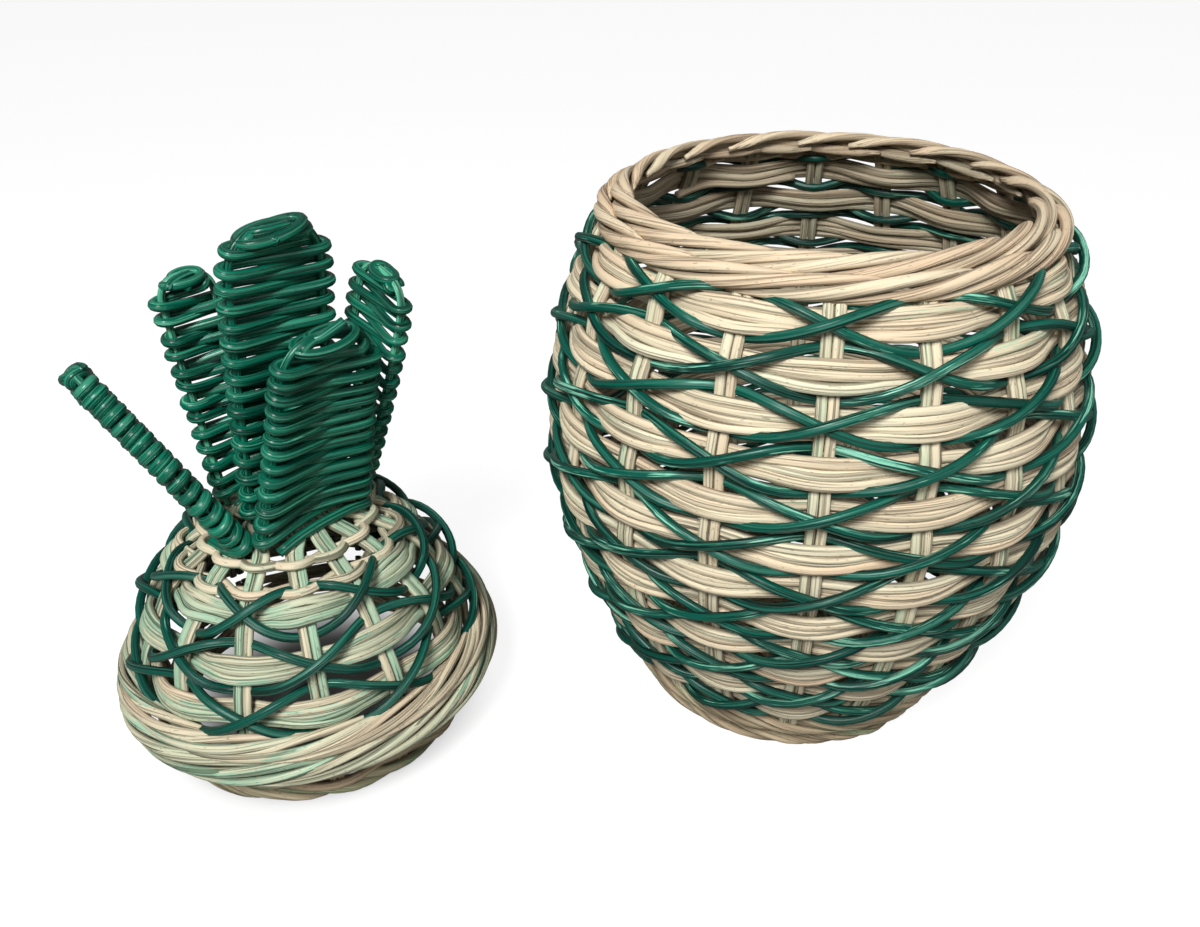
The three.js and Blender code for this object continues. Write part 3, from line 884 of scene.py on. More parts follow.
def ring_frame(
    angle: np.ndarray, axis: Sequence[float], ring: float, height: float, lean: float,
) -> tuple[np.ndarray, np.ndarray, np.ndarray]:
    """Lays the middle of a ring, with the directions across it.

    Args:
        angle: Angles round the ring's axis.
        axis: Where the axis stands.
        ring: Radius of the ring.
        height: Height of the ring.
        lean: Angle by which its upright leans outwards.

    Returns:
        The ring's points, and the outward and the upright direction at each.
    """
    out = np.stack([np.cos(angle), np.sin(angle), np.zeros_like(angle)], axis=1)
    across = out * math.cos(lean) - UP * math.sin(lean)
    upright = out * math.sin(lean) + UP * math.cos(lean)
    middle = out * ring + UP * height + np.array([axis[0], axis[1], 0.0])
    return middle, across, upright


@dataclass
class Rope:
    """A ring of strands laid round each other with a long turn.

    Attributes:
        axis: Where the ring's axis stands.
        ring: Radius of the ring, to the middle of the rope.
        height: Height of the middle of the rope.
        reach: How far the reeds' middles lie from the rope's, outwards and upwards.
        strands: Number of strands.
        reeds: Reeds that lie side by side in each.
        turns: Turns of the rope once round the ring. A negative number turns the other way.
        radius: Radius of the reeds.
        lean: Angle by which the rope's upright leans outwards.
        loose: How unevenly the reeds lie.
    """

    axis: Sequence[float]
    ring: float
    height: float
    reach: tuple[float, float]
    strands: int
    reeds: int
    turns: int
    radius: float
    lean: float = 0.0
    loose: float = 0.16

    def lay(self, looks: Sequence[Look], rng: np.random.Generator, steps: int = 144) -> list[Strand]:
        """Lays the rope's reeds.

        Args:
            looks: One for each reed.
            rng: Seeded source of its unevenness.
            steps: Steps round the ring.

        Returns:
            The reeds.
        """
        ring = QUARTER + TAU * np.arange(steps) / steps
        middle, across, upright = ring_frame(ring, self.axis, self.ring, self.height, self.lean)
        made = []
        packed = 0.86  # a strand's reeds lie nearer to each other than to the next strand's
        for number, look in zip(range(self.strands * self.reeds), looks):
            strand, reed = divmod(number, self.reeds)
            place = packed * (reed - (self.reeds - 1) / 2) / self.reeds
            phase = TAU * (strand + place) / self.strands
            section = phase - self.turns * ring + waver(rng, ring, self.loose, (3, 5, 8, 12))
            wide = self.reach[0] + waver(rng, ring, 0.25, (4, 9))
            tall = self.reach[1] + waver(rng, ring, 0.25, (5, 7))
            away = across * (np.cos(section) * wide)[:, None]
            away = away + upright * (np.sin(section) * tall)[:, None]
            normals = across * np.cos(section)[:, None] + upright * np.sin(section)[:, None]
            girth = self.radius * (1 + waver(rng, ring, 0.03, (6, 10)))
            made.append(Strand(middle + away, normals, girth, look))
        return made


@dataclass
class Border:
    """A border made of short bands of reeds, one to a stake.

    Each band comes out from under the one before it, low on the outside, rises as it goes
    round, passes over the top and ends inside.

    Attributes:
        axis: Where the border's axis stands.
        ring: Radius of the ring, to the middle of the border's round.
        height: Height of the middle of the round.
        half: From there to the reeds' middles, outwards and upwards.
        count: Number of bands.
        turn: Angle where the first band comes out.
        radius: Radius of a reed.
        course: Where a band lies in the round, in degrees up from the outside, at places
            counted in stakes.
        bulge: How far the middle of a band stands out over its ends.
        reeds: One or two reeds to a band.
        apart: Degrees from the middle of a band to either of its two reeds.
        lean: Angle by which the round's upright leans outwards.
        flat: A reed's thickness over its width.
    """

    axis: Sequence[float]
    ring: float
    height: float
    half: tuple[float, float]
    count: int
    turn: float
    radius: float
    course: tuple[tuple[float, float], ...] = ((-0.4, -115), (0, -75), (2.5, 98), (3.1, 180))
    bulge: float = 1.5
    reeds: int = 1
    apart: float = 29.0
    lean: float = 0.0
    flat: float = 0.76

    def lay(self, looks: Sequence[Look], rng: np.random.Generator) -> list[Strand]:
        """Lays the border's reeds.

        Args:
            looks: One for each reed, a band's lower reed first.
            rng: Seeded source of its unevenness.

        Returns:
            The reeds.
        """
        stakes, degrees = np.array(self.course).T
        sides = (0,) if self.reeds == 1 else (-1, 1)
        unevenness = 6.0  # degrees by which a band may lie higher or lower than the next
        point = 0.55  # share of its thickness that a reed loses at an end
        closed = 0.3  # how far apart a band's two reeds are at its ends, over their middle
        tuck = 1.1  # how far the upper reed lies under the lower one there
        made = []
        for band in range(self.count):
            early, late, lift = rng.normal(size=3) * (0.1, 0.14, 0.3)
            place = np.linspace(stakes[0] + early, stakes[-1] + late, 34)
            share = (place - place[0]) / (place[-1] - place[0])
            section = smoothed(np.interp(place, stakes, degrees), 7, closed=False)
            section = section + rng.normal() * unevenness
            opened = step_between(share, 0.2, 0.55) * (1 - 0.5 * step_between(share, 0.75, 1.0))
            stands = (self.bulge + 0.25 * lift) * np.sin(math.pi * share)
            angle = self.turn + (band + place) * TAU / self.count
            middle, across, upright = ring_frame(angle, self.axis, self.ring, self.height, self.lean)
            first, last = 1 - step_between(share, 0, 0.1), step_between(share, 0.88, 1)
            pointed = 1 - point * first - point * last
            for side, look in zip(sides, looks[self.reeds * band :]):
                turned = np.radians(section + side * self.apart * (closed + (1 - closed) * opened))
                tucked = tuck * (1 - opened) if side > 0 else 0.0
                wide = np.cos(turned) * (self.half[0] + stands - tucked)
                tall = np.sin(turned) * (self.half[1] + stands - tucked)
                points = middle + across * wide[:, None] + upright * tall[:, None]
                normals = across * np.cos(turned)[:, None] + upright * np.sin(turned)[:, None]
                uneven = 1 + 0.06 * np.sin(place * rng.uniform(2, 5) + rng.uniform(0, TAU))
                girth = self.radius * uneven * pointed
                reed = Strand(points, normals, girth, look, closed=False, flat=self.flat, square=0.88)
                made.append(reed)
        return made


@dataclass
class Slath:
    """Stakes that cross at the middle of a round and fan out to its edge.

    Attributes:
        stakes: Number of stakes at the edge, two to each that goes through.
        turn: Angle of the front stake.
        inner: Radius where the stakes start to fan out.
        outer: Radius where they run straight outwards.
        edge: Radius where they end.
        radius: Radius of a reed.
    """

    stakes: int
    turn: float
    inner: float
    outer: float
    edge: float
    radius: float

    def paths(self) -> list[tuple[int, int, np.ndarray, np.ndarray]]:
        """Works out the paths on the flat.

        Returns:
            For each reed, the number of its stake, its side in the pair, its points across
            the round, and how far each is lifted, from -1 to 1, where the two layers cross.
        """
        through = self.stakes // 2
        upper = (through + 1) // 2
        pair = 4.1 * self.radius  # from one pair to the next where they lie side by side
        gap = 0.03  # half the gap between a pair's two reeds
        walk = np.linspace(-self.edge, self.edge, 61)
        fan = step_between(np.abs(walk), self.inner, self.outer)[:, None]
        made = []
        for number in range(through):
            layer = 0 if number < upper else 1
            count = upper if layer == 0 else through - upper
            first = 0 if layer == 0 else upper
            heading = self.turn - QUARTER + (first + (count - 1) / 2) * TAU / self.stakes
            beside = number - first - (count - 1) / 2
            angle = self.turn - QUARTER + number * TAU / self.stakes
            straight = np.array([math.cos(heading), math.sin(heading)])
            square = np.array([-straight[1], straight[0]])
            ray = np.array([math.cos(angle), math.sin(angle)])
            ray_square = np.array([-ray[1], ray[0]])
            for side in (-1, 1):
                shift = side * (self.radius + gap)
                packed = beside * pair + shift
                near = walk[:, None] * straight + square * packed
                far = walk[:, None] * ray + ray_square * shift
                points = near * (1 - fan) + far * fan
                lift = (1 - fan[:, 0]) * (1 if layer == 0 else -1)
                made.append((number, side, points, lift))
        return made


@dataclass
class BasketBody:
    """The basket: stakes, rows, green strands, rim and foot. Sizes are in millimetres."""

    belly_radius: float = 92.0
    belly_height: float = 103.0
    foot_radius: float = 54.5
    mouth_radius: float = 68.3
    lower_curve: float = 1.5
    upper_curve: float = 2.36
    stake_count: int = 18
    stake_turn: float = -0.148
    stake_reed: float = 1.66
    row_count: int = 12
    four_reed_rows: tuple[int, ...] = (3, 8)
    border_ring: float = 67.0
    waling_ring: float = 73.7
    weave: Weave = field(init=False)

    def __post_init__(self) -> None:
        """Works out the wall and its rows from the frame."""
        stands_over = 0.5  # how far the dressed rim rises over its solid
        self.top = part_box("rim_border")[1].z / MM + stands_over
        crown = self.top - 1.0
        heights = np.linspace(0, crown, 400)
        below = np.clip((self.belly_height - heights) / self.belly_height, 0, 1)
        above = np.clip((heights - self.belly_height) / (crown - self.belly_height), 0, 1)
        radii = self.belly_radius - (self.belly_radius - self.foot_radius) * below**self.lower_curve
        radii = radii - (self.belly_radius - self.mouth_radius) * above**self.upper_curve
        outline = Outline((0.0, 0.0), radii, heights)
        levels = []
        for row in (1, self.row_count):
            low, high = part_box(f"basket_row_{row:02d}")
            levels.append(outline.at_height((low.z + high.z) / 2 / MM))
        pitch = (levels[0] - levels[1]) / (self.row_count - 1)
        self.weave = Weave(outline, self.stake_count, self.stake_turn, levels[0], pitch, shift=0)

    def wall_radius(self, height: float) -> float:
        """Gives the radius of the middle of the wall at a height."""
        return float(np.interp(height, self.weave.outline.heights, self.weave.outline.radii))

    def stakes(self) -> list[ReedPiece]:
        """Makes the stakes, from the base up into the rim."""
        rng = np.random.default_rng(11)
        over_floor, under_rim = 3.0, 8.0
        low = self.weave.outline.at_height(over_floor)
        high = self.weave.outline.at_height(self.top - under_rim)
        dyed_left = 0.7  # share of the stakes whose left reed is the paler, greener one
        made = []
        for number in range(self.stake_count):
            name = f"stake_{number + 1:02d}"
            piece = ReedPiece(name, Body.BASKET, Slot.NATURAL, [f"basket_{name}"])
            left = Look(rng.uniform(0.0, 0.4), rng.uniform(0.12, 0.4), rng.uniform(0.2, 0.55))
            right = Look(rng.uniform(0.3, 0.9), rng.uniform(0.0, 0.12), rng.uniform(0.0, 0.3))
            looks = (left, right) if rng.random() < dyed_left else (right, left)
            piece.strands = self.weave.stake(number, low, high, looks, self.stake_reed)
            made.append(piece)
        return made

    def rows(self) -> list[ReedPiece]:
        """Makes the tan rows, with a spliced end here and there on the inside."""
        made = []
        for row in range(1, self.row_count + 1):
            rng = np.random.default_rng(100 + row)
            reeds = 4 if row in self.four_reed_rows else 3
            looks = [Look(rng.uniform(0.0, 1.0), rng.uniform(0, 0.08), rng.uniform(0.0, 0.3))
                     for _ in range(reeds)]
            name = f"row_{row:02d}"
            piece = ReedPiece(name, Body.BASKET, Slot.NATURAL, [f"basket_{name}"])
            piece.strands = self.weave.row(row, reeds, looks, rng)
            start = (row * 5 + 4) % self.stake_count + 0.3
            piece.strands.append(self.weave.splice(row, start, 1.9, Look(0.7, 0.0, 0.1)))
            made.append(piece)
        return made

    def greens(self) -> list[ReedPiece]:
        """Makes the green strands, one to a row."""
        made = []
        for row in range(1, self.row_count + 1):
            rng = np.random.default_rng(200 + row)
            name = f"green_{row:02d}"
            piece = ReedPiece(name, Body.BASKET, Slot.GREEN, [f"basket_{name}"])
            look = Look(rng.uniform(0.0, 1.0), 0.0, rng.uniform(0.24, 0.42))
            piece.strands = [self.weave.green(row, look, rng)]
            made.append(piece)
        return made

    def rim(self) -> list[ReedPiece]:
        """Makes the rolled border and the waling that is twisted round it."""
        rng = np.random.default_rng(31)
        start = self.weave.angle(0.4)
        reed = 2.05
        roll_height, wale_height = self.top - 4.9, self.top - 8.5
        roll = Border(
            (0, 0), self.border_ring, roll_height, (1.9, 2.0), self.stake_count, start, reed,
        )
        wale = Border(
            (0, 0), self.waling_ring, wale_height, (1.2, 2.3), self.stake_count, start + 0.14, reed,
            course=((-0.4, -130), (0, -90), (2.2, 75), (2.8, 140)), bulge=1.2,
        )
        made = []
        for name, node, border in (("rim_roll", "rim_border", roll), ("rim_wale", "rim_waling", wale)):
            piece = ReedPiece(name, Body.BASKET, Slot.NATURAL, [node])
            looks = [Look(rng.uniform(0.7, 1.6), rng.uniform(0, 0.04), rng.uniform(0, 0.12))
                     for _ in range(self.stake_count)]
            piece.strands = border.lay(looks, rng)
            made.append(piece)
        return made

    def foot(self) -> ReedPiece:
        """Makes the woven base and the two rounds of waling on its edge."""
        rng = np.random.default_rng(41)
        piece = ReedPiece("base", Body.BASKET, Slot.BASE, ["basket_base"])
        measured = 3.0  # how far above and below a round the wall's slope is measured
        for height, reach in ((4.6, 3.0), (15.2, 3.6)):
            slope = self.wall_radius(height + measured) - self.wall_radius(height - measured)
            lean = math.atan2(slope, 2 * measured)
            ring = self.wall_radius(height) + 0.4
            wale = Rope(
                (0, 0), ring, height, (2.3, reach), strands=3, reeds=2, turns=5, radius=1.6, lean=lean,
            )
            looks = [Look(rng.uniform(0.2, 1.0), 0.0, rng.uniform(0.1, 0.4)) for _ in range(6)]
            piece.strands += wale.lay(looks, rng)
        middle = 3.6
        fan_start, fan_end = 17.0, 30.0
        slath = Slath(
            self.stake_count, self.stake_turn, fan_start, fan_end, self.foot_radius, self.stake_reed,
        )
        for _, _, flat, lift in slath.paths():
            height = middle + lift * self.stake_reed
            points = np.column_stack([flat, height])
            look = Look(rng.uniform(0, 1), 0.0, rng.uniform(0.1, 0.4))
            normals = np.tile(UP, (len(points), 1))
            piece.strands.append(Strand(points, normals, self.stake_reed, look, closed=False, sides=8))
        first_round, spacing, rounds = 25.0, 3.05, 10
        for number in range(rounds):
            piece.strands += self.pairing(first_round + number * spacing, middle, rng)
        return piece

    def pairing(self, ring: float, height: float, rng: np.random.Generator) -> list[Strand]:
        """Lays two reeds that twist round each other between the stakes of the base.

        Args:
            ring: Radius of the round.
            height: Height of the middle of the base.
            rng: Seeded source of its colours.

        Returns:
            The two reeds.
        """
        detail = 6  # steps from one stake to the next
        stake = np.arange(self.stake_count * detail) / detail
        angle = self.weave.angle(stake)
        aside, rise, radius = 0.7, 1.7, 1.3
        made = []
        for half in (0, 1):
            reach = ring + aside * np.sin(math.pi * (stake + half))
            level = height + rise * np.cos(math.pi * (stake + half))
            points = np.stack([np.cos(angle) * reach, np.sin(angle) * reach, level], axis=1)
            normals = np.tile(UP, (len(points), 1))
            look = Look(rng.uniform(0, 1), 0.0, rng.uniform(0.0, 0.4))
            made.append(Strand(points, normals, radius, look, sides=8))
        return made


@dataclass(frozen=True)
class Leaf:
    """A reed bent to a U, and another wound over its two legs in figures of eight.

    Sizes are in millimetres, from the lid's axis. They are the solid's, so that the leaf
    stays where it is.

    Attributes:
        name: Name of the solid.
        base: Where it stands on the crown.
        tip: Its top.
        turn: The way its width runs, in degrees.
        foot: Half the distance between its legs at the crown.
        half: The same at its widest.
        strand: Radius of the reed that is wound.
        pitch: Height of one figure of eight.
        coils: Turns of the coil that ends the winding.
        coil: Width and depth of the coil, from its middle.
        tilt: How much higher the coil lies for each millimetre of its width.
        caps: Reeds that are folded over the top.
        tail: Where the cut end points, along the width, the height and the facing.
        bare: How pale the frame is.
        wear: How worn the winding is.
        loose: How unevenly it is wound.
    """

    name: str
    base: tuple[float, float]
    tip: tuple[float, float, float]
    turn: float
    foot: float
    half: float
    strand: float
    pitch: float
    coils: float
    coil: tuple[float, float]
    tilt: float
    caps: int
    tail: tuple[float, float, float]
    bare: float
    wear: float
    loose: float = 0.25

    def build(self, dome: Outline) -> ReedPiece:
        """Makes the leaf on the lid's crown."""
        rng = np.random.default_rng(500 + int(self.half * 10) + int(self.tip[0]))
        sheet = Sheet(self, dome)
        piece = ReedPiece(self.name.replace("leaf_", "frond_"), Body.LID, Slot.LEAF, [self.name])
        piece.strands.append(self._frame(sheet))
        piece.strands.append(self._winding(sheet, rng))
        for cap in range(self.caps):
            piece.strands.append(self._cap(sheet, cap - (self.caps - 1) / 2, rng))
        return piece

    def _frame(self, sheet: Sheet) -> Strand:
        """Bends the frame to a U."""
        up = np.linspace(0, sheet.straight, 40)
        arch = np.linspace(math.pi, 0, 24)[1:-1]
        legs = sheet.half_at(up)
        round_top = 2 / Sheet.round
        bend = [np.sign(part) * np.abs(part) ** round_top for part in (np.cos(arch), np.sin(arch))]
        width = np.concatenate([-legs, self.half * bend[0], legs[::-1]])
        height = np.concatenate([up, sheet.straight + self.half * bend[1], up[::-1]])
        height = height + sheet.sheared(width, height, 20.0)
        points = sheet.at(width, height, np.zeros_like(width))
        normals = np.tile(sheet.facing, (len(points), 1))
        look = Look(0.5, self.bare, 0.3 + 0.5 * self.bare)
        return Strand(points, normals, Sheet.leg, look, closed=False, sides=8)

    def _winding(self, sheet: Sheet, rng: np.random.Generator) -> Strand:
        """Winds the leaf from its cut end at the crown up, and ends in a coil round its top."""
        last, width, height, depth = self._eights(sheet, rng)
        lead = self._lead(sheet, width[0], height[0], depth[0])
        body = sheet.at(width, height, depth)
        coil = self._coil(sheet, last, height[-1])
        end = sheet.at(*[np.array([part]) for part in self.tail])[0] - sheet.root
        tail = coil[-1] + end * np.linspace(0.12, 1, 7)[:, None]
        points = smoothed(np.concatenate([lead, body, coil, tail]), 5, closed=False)
        look = Look(rng.uniform(0.2, 0.8), 0.0, self.wear)
        unevenness, wave = 0.05, 0.083
        girth = self.strand * (1 + unevenness * np.sin(np.arange(len(points)) * wave))
        return Strand(points, carried(points, sheet.facing), girth, look, closed=False)

    def _eights(
        self, sheet: Sheet, rng: np.random.Generator,
    ) -> tuple[float, np.ndarray, np.ndarray, np.ndarray]:
        """Lays figures of eight over the two legs.

        Args:
            sheet: The sheet that the leaf lies in.
            rng: Seeded source of their unevenness.

        Returns:
            The last angle round them, and the width, height and depth at each step.
        """
        steps = 36  # to a figure of eight
        arch = 0.8  # share of the round top that they cover
        reach = self.strand + Sheet.leg
        start = self.strand + 0.4
        turns = int((sheet.straight + self.half * arch - start) / self.pitch)
        phase = QUARTER / 2 + np.arange(turns * steps) * TAU / steps
        height = start + self.pitch * (phase - phase[0]) / TAU
        half = sheet.half_at(height)
        wide = half + reach + waver(rng, phase / turns, self.loose, (5, 9, 14, 22))
        width = wide * np.sin(phase)
        inside = np.abs(width) / half
        rounded = np.clip((np.abs(width) - half) / (wide - half), 0, 1)
        depth = reach * np.where(inside < 1, inside, np.sqrt(1 - rounded**2))
        depth = depth * np.sign(np.sin(2 * phase))
        height = height + sheet.sheared(width, height, 34.0)
        height = height + waver(rng, phase / turns, 0.4, (3, 7, 11, 17, 29))
        return phase[-1], width, height, depth

    def _coil(self, sheet: Sheet, last: float, low: float) -> np.ndarray:
        """Lays the coil that closes the leaf's top.

        Args:
            sheet: The sheet that the leaf lies in.
            last: The last angle round the figures of eight.
            low: Height where they end.

        Returns:
            The coil's points. It draws in towards its end, and lies a little unevenly.
        """
        steps = 28  # to a turn
        around = last + np.arange(1, int(self.coils * steps)) * TAU / steps
        share = np.linspace(0, 1, len(around))
        first_size, drawn_in, closing = 1.04, 0.42, 0.3
        size = (first_size - drawn_in * share) * (1 - closing * step_between(share, 0.86, 1.0))
        wider, higher = 0.1, 0.45 * self.strand  # its unevenness across and up
        size = size * (1 + wider * np.sin(around * 0.63 + self.half))
        top = sheet.length - self.coil[0] * self.tilt * 0.4 - 0.3
        level = low + (top - low) * step_between(share, -0.3, 0.9)
        level = level + higher * np.sin(around * 1.37 + self.half)
        width = self.coil[0] * size * np.sin(around)
        depth = self.coil[1] * size * np.cos(around)
        return sheet.at(width, level + self.tilt * width, depth)

    def _lead(self, sheet: Sheet, width: float, height: float, depth: float) -> np.ndarray:
        """Lays the cut end, from the crown up to where the figures of eight start.

        Args:
            sheet: The sheet that the leaf lies in.
            width: Where they start, across the sheet.
            height: The same up the sheet.
            depth: The same out of the sheet.

        Returns:
            The cut end's points, without the one where they start.
        """
        steps = 12
        outwards = self.strand + Sheet.leg + 1.2 * self.strand
        across = np.linspace(-0.85 * self.foot, width, steps)[:-1]
        out = np.linspace(outwards, depth, steps)[:-1]
        up = np.linspace(0.2, height, steps)[:-1]
        up = up + sheet.crown_at(across) * np.linspace(1, 0, steps - 1)
        return sheet.at(across, up, out)

    def _cap(self, sheet: Sheet, place: float, rng: np.random.Generator) -> Strand:
        """Folds a reed over the leaf's top, from the front on one side to the back."""
        past = 0.02  # how far it goes on past a half turn, over that
        arc = np.linspace(math.pi * (1 + past), -math.pi * past, 26)
        lift = self.coil[0] * 0.22
        width = self.coil[0] * 0.82 * np.cos(arc)
        height = sheet.length - lift - 0.5 + lift * np.sin(arc) + 0.6 * self.tilt * width
        apart, slant, back = 2.2 * self.strand, 2.4, 0.8
        depth = place * apart - slant * np.cos(arc) - back
        points = sheet.at(width, height, depth)
        look = Look(rng.uniform(0.3, 0.9), 0.0, self.wear)
        return Strand(points, carried(points, sheet.facing), self.strand, look, closed=False)


class Sheet:
    """The flat sheet that a leaf lies in, measured across and up from where it stands."""

    leg = 1.35  # radius of the reed that the frame is bent from
    round = 2.5  # shape of its round top; 2 would be a half circle

    def __init__(self, leaf: Leaf, dome: Outline) -> None:
        """Stands a leaf's sheet on the crown."""
        self.leaf, self.dome = leaf, dome
        standing = math.hypot(*leaf.base)
        self.root = np.array([*leaf.base, self._crown(standing)]) + dome.axis
        spine = np.array(leaf.tip) + dome.axis - self.root
        self.length = float(np.linalg.norm(spine)) - leaf.strand
        self.axis = unit(spine)
        turn = math.radians(leaf.turn)
        level = np.array([math.cos(turn), math.sin(turn), 0.0])
        self.across = unit(level - self.axis * float(level @ self.axis))
        self.facing = np.cross(self.across, self.axis)
        self.straight = self.length - leaf.half

    def _crown(self, radius: float | np.ndarray) -> float | np.ndarray:
        """Gives the height of the crown's reeds at a distance from the lid's axis."""
        lift = 2.0
        return np.interp(self.dome.at_radius(radius), self.dome.lengths, self.dome.heights) + lift

    def half_at(self, height: np.ndarray) -> np.ndarray:
        """Gives half the distance between the frame's legs at heights up the sheet."""
        spread = np.sin(QUARTER * np.clip(height / self.straight, 0, 1))
        below = self.leaf.foot + (self.leaf.half - self.leaf.foot) * spread
        share = np.clip((height - self.straight) / self.leaf.half, 0, 1)
        above = self.leaf.half * (1 - share**self.round) ** (1 / self.round)
        return np.where(height > self.straight, above, below)

    def at(self, width: np.ndarray, height: np.ndarray, depth: np.ndarray) -> np.ndarray:
        """Finds places from a width, a height up the sheet and a depth out of it."""
        parts = zip((width, height, depth), (self.across, self.axis, self.facing))
        return self.root + sum(part[:, None] * way for part, way in parts)

    def crown_at(self, width: np.ndarray) -> np.ndarray:
        """Gives how far up the sheet the crown lies under places across it."""
        places = self.root + width[:, None] * self.across - self.dome.axis
        crown = self._crown(np.hypot(places[:, 0], places[:, 1]))
        return (crown - places[:, 2]) / self.axis[2]

    def sheared(self, width: np.ndarray, height: np.ndarray, reach: float) -> np.ndarray:
        """Lets the lowest part of the leaf follow the crown, up to a height of reach."""
        return self.crown_at(width) * (1 - step_between(height, 0, reach))


def carried(points: np.ndarray, first: np.ndarray) -> np.ndarray:
    """Carries a direction along a path without twisting it.

    Args:
        points: The path.
        first: The direction at its start.

    Returns:
        The direction at each point.
    """
    along = unit(np.gradient(points, axis=0))
    normal = first
    made = np.empty_like(points)
    for i, ahead in enumerate(along):
        normal = unit(normal - ahead * float(normal @ ahead))
        made[i] = normal
    return made


LEAVES = (
    Leaf(
        "leaf_centre", base=(2, 0), tip=(13, 3, 197), turn=45, foot=15, half=16.8,
        strand=1.75, pitch=6.1, coils=2.1, coil=(12.8, 7.0), tilt=0.12, caps=1,
        tail=(-9, -3, 5), bare=0.0, wear=0.2,
    ),
    Leaf(
        "leaf_front", base=(12, -9.5), tip=(30, -13, 166.5), turn=46, foot=20, half=17,
        strand=1.8, pitch=5.1, coils=1.8, coil=(13.0, 6.2), tilt=0.05, caps=1,
        tail=(8, 5, 1), bare=0.0, wear=0.18,
    ),
    Leaf(
        "leaf_back_left", base=(-17, 11), tip=(-24.5, 15, 176), turn=38, foot=8, half=9,
        strand=1.65, pitch=6.0, coils=1.8, coil=(7.6, 4.8), tilt=0.05, caps=2,
        tail=(3, -3, 3), bare=0.45, wear=0.24,
    ),
    Leaf(
        "leaf_back_right", base=(18.5, 22.5), tip=(43.5, 16, 175), turn=-44, foot=7, half=12,
        strand=1.5, pitch=5.8, coils=1.7, coil=(6.6, 4.0), tilt=-0.15, caps=1,
        tail=(7, -2, 1), bare=0.9, wear=0.18,
    ),
    Leaf(
        "leaf_left", base=(-15, -16.2), tip=(-60.5, -6.5, 151), turn=-50, foot=6, half=10.4,
        strand=2.1, pitch=4.1, coils=2.0, coil=(7.2, 3.8), tilt=0.05, caps=1,
        tail=(-1, -9, 2.0), bare=0.1, wear=0.2, loose=0.6,
    ),
)


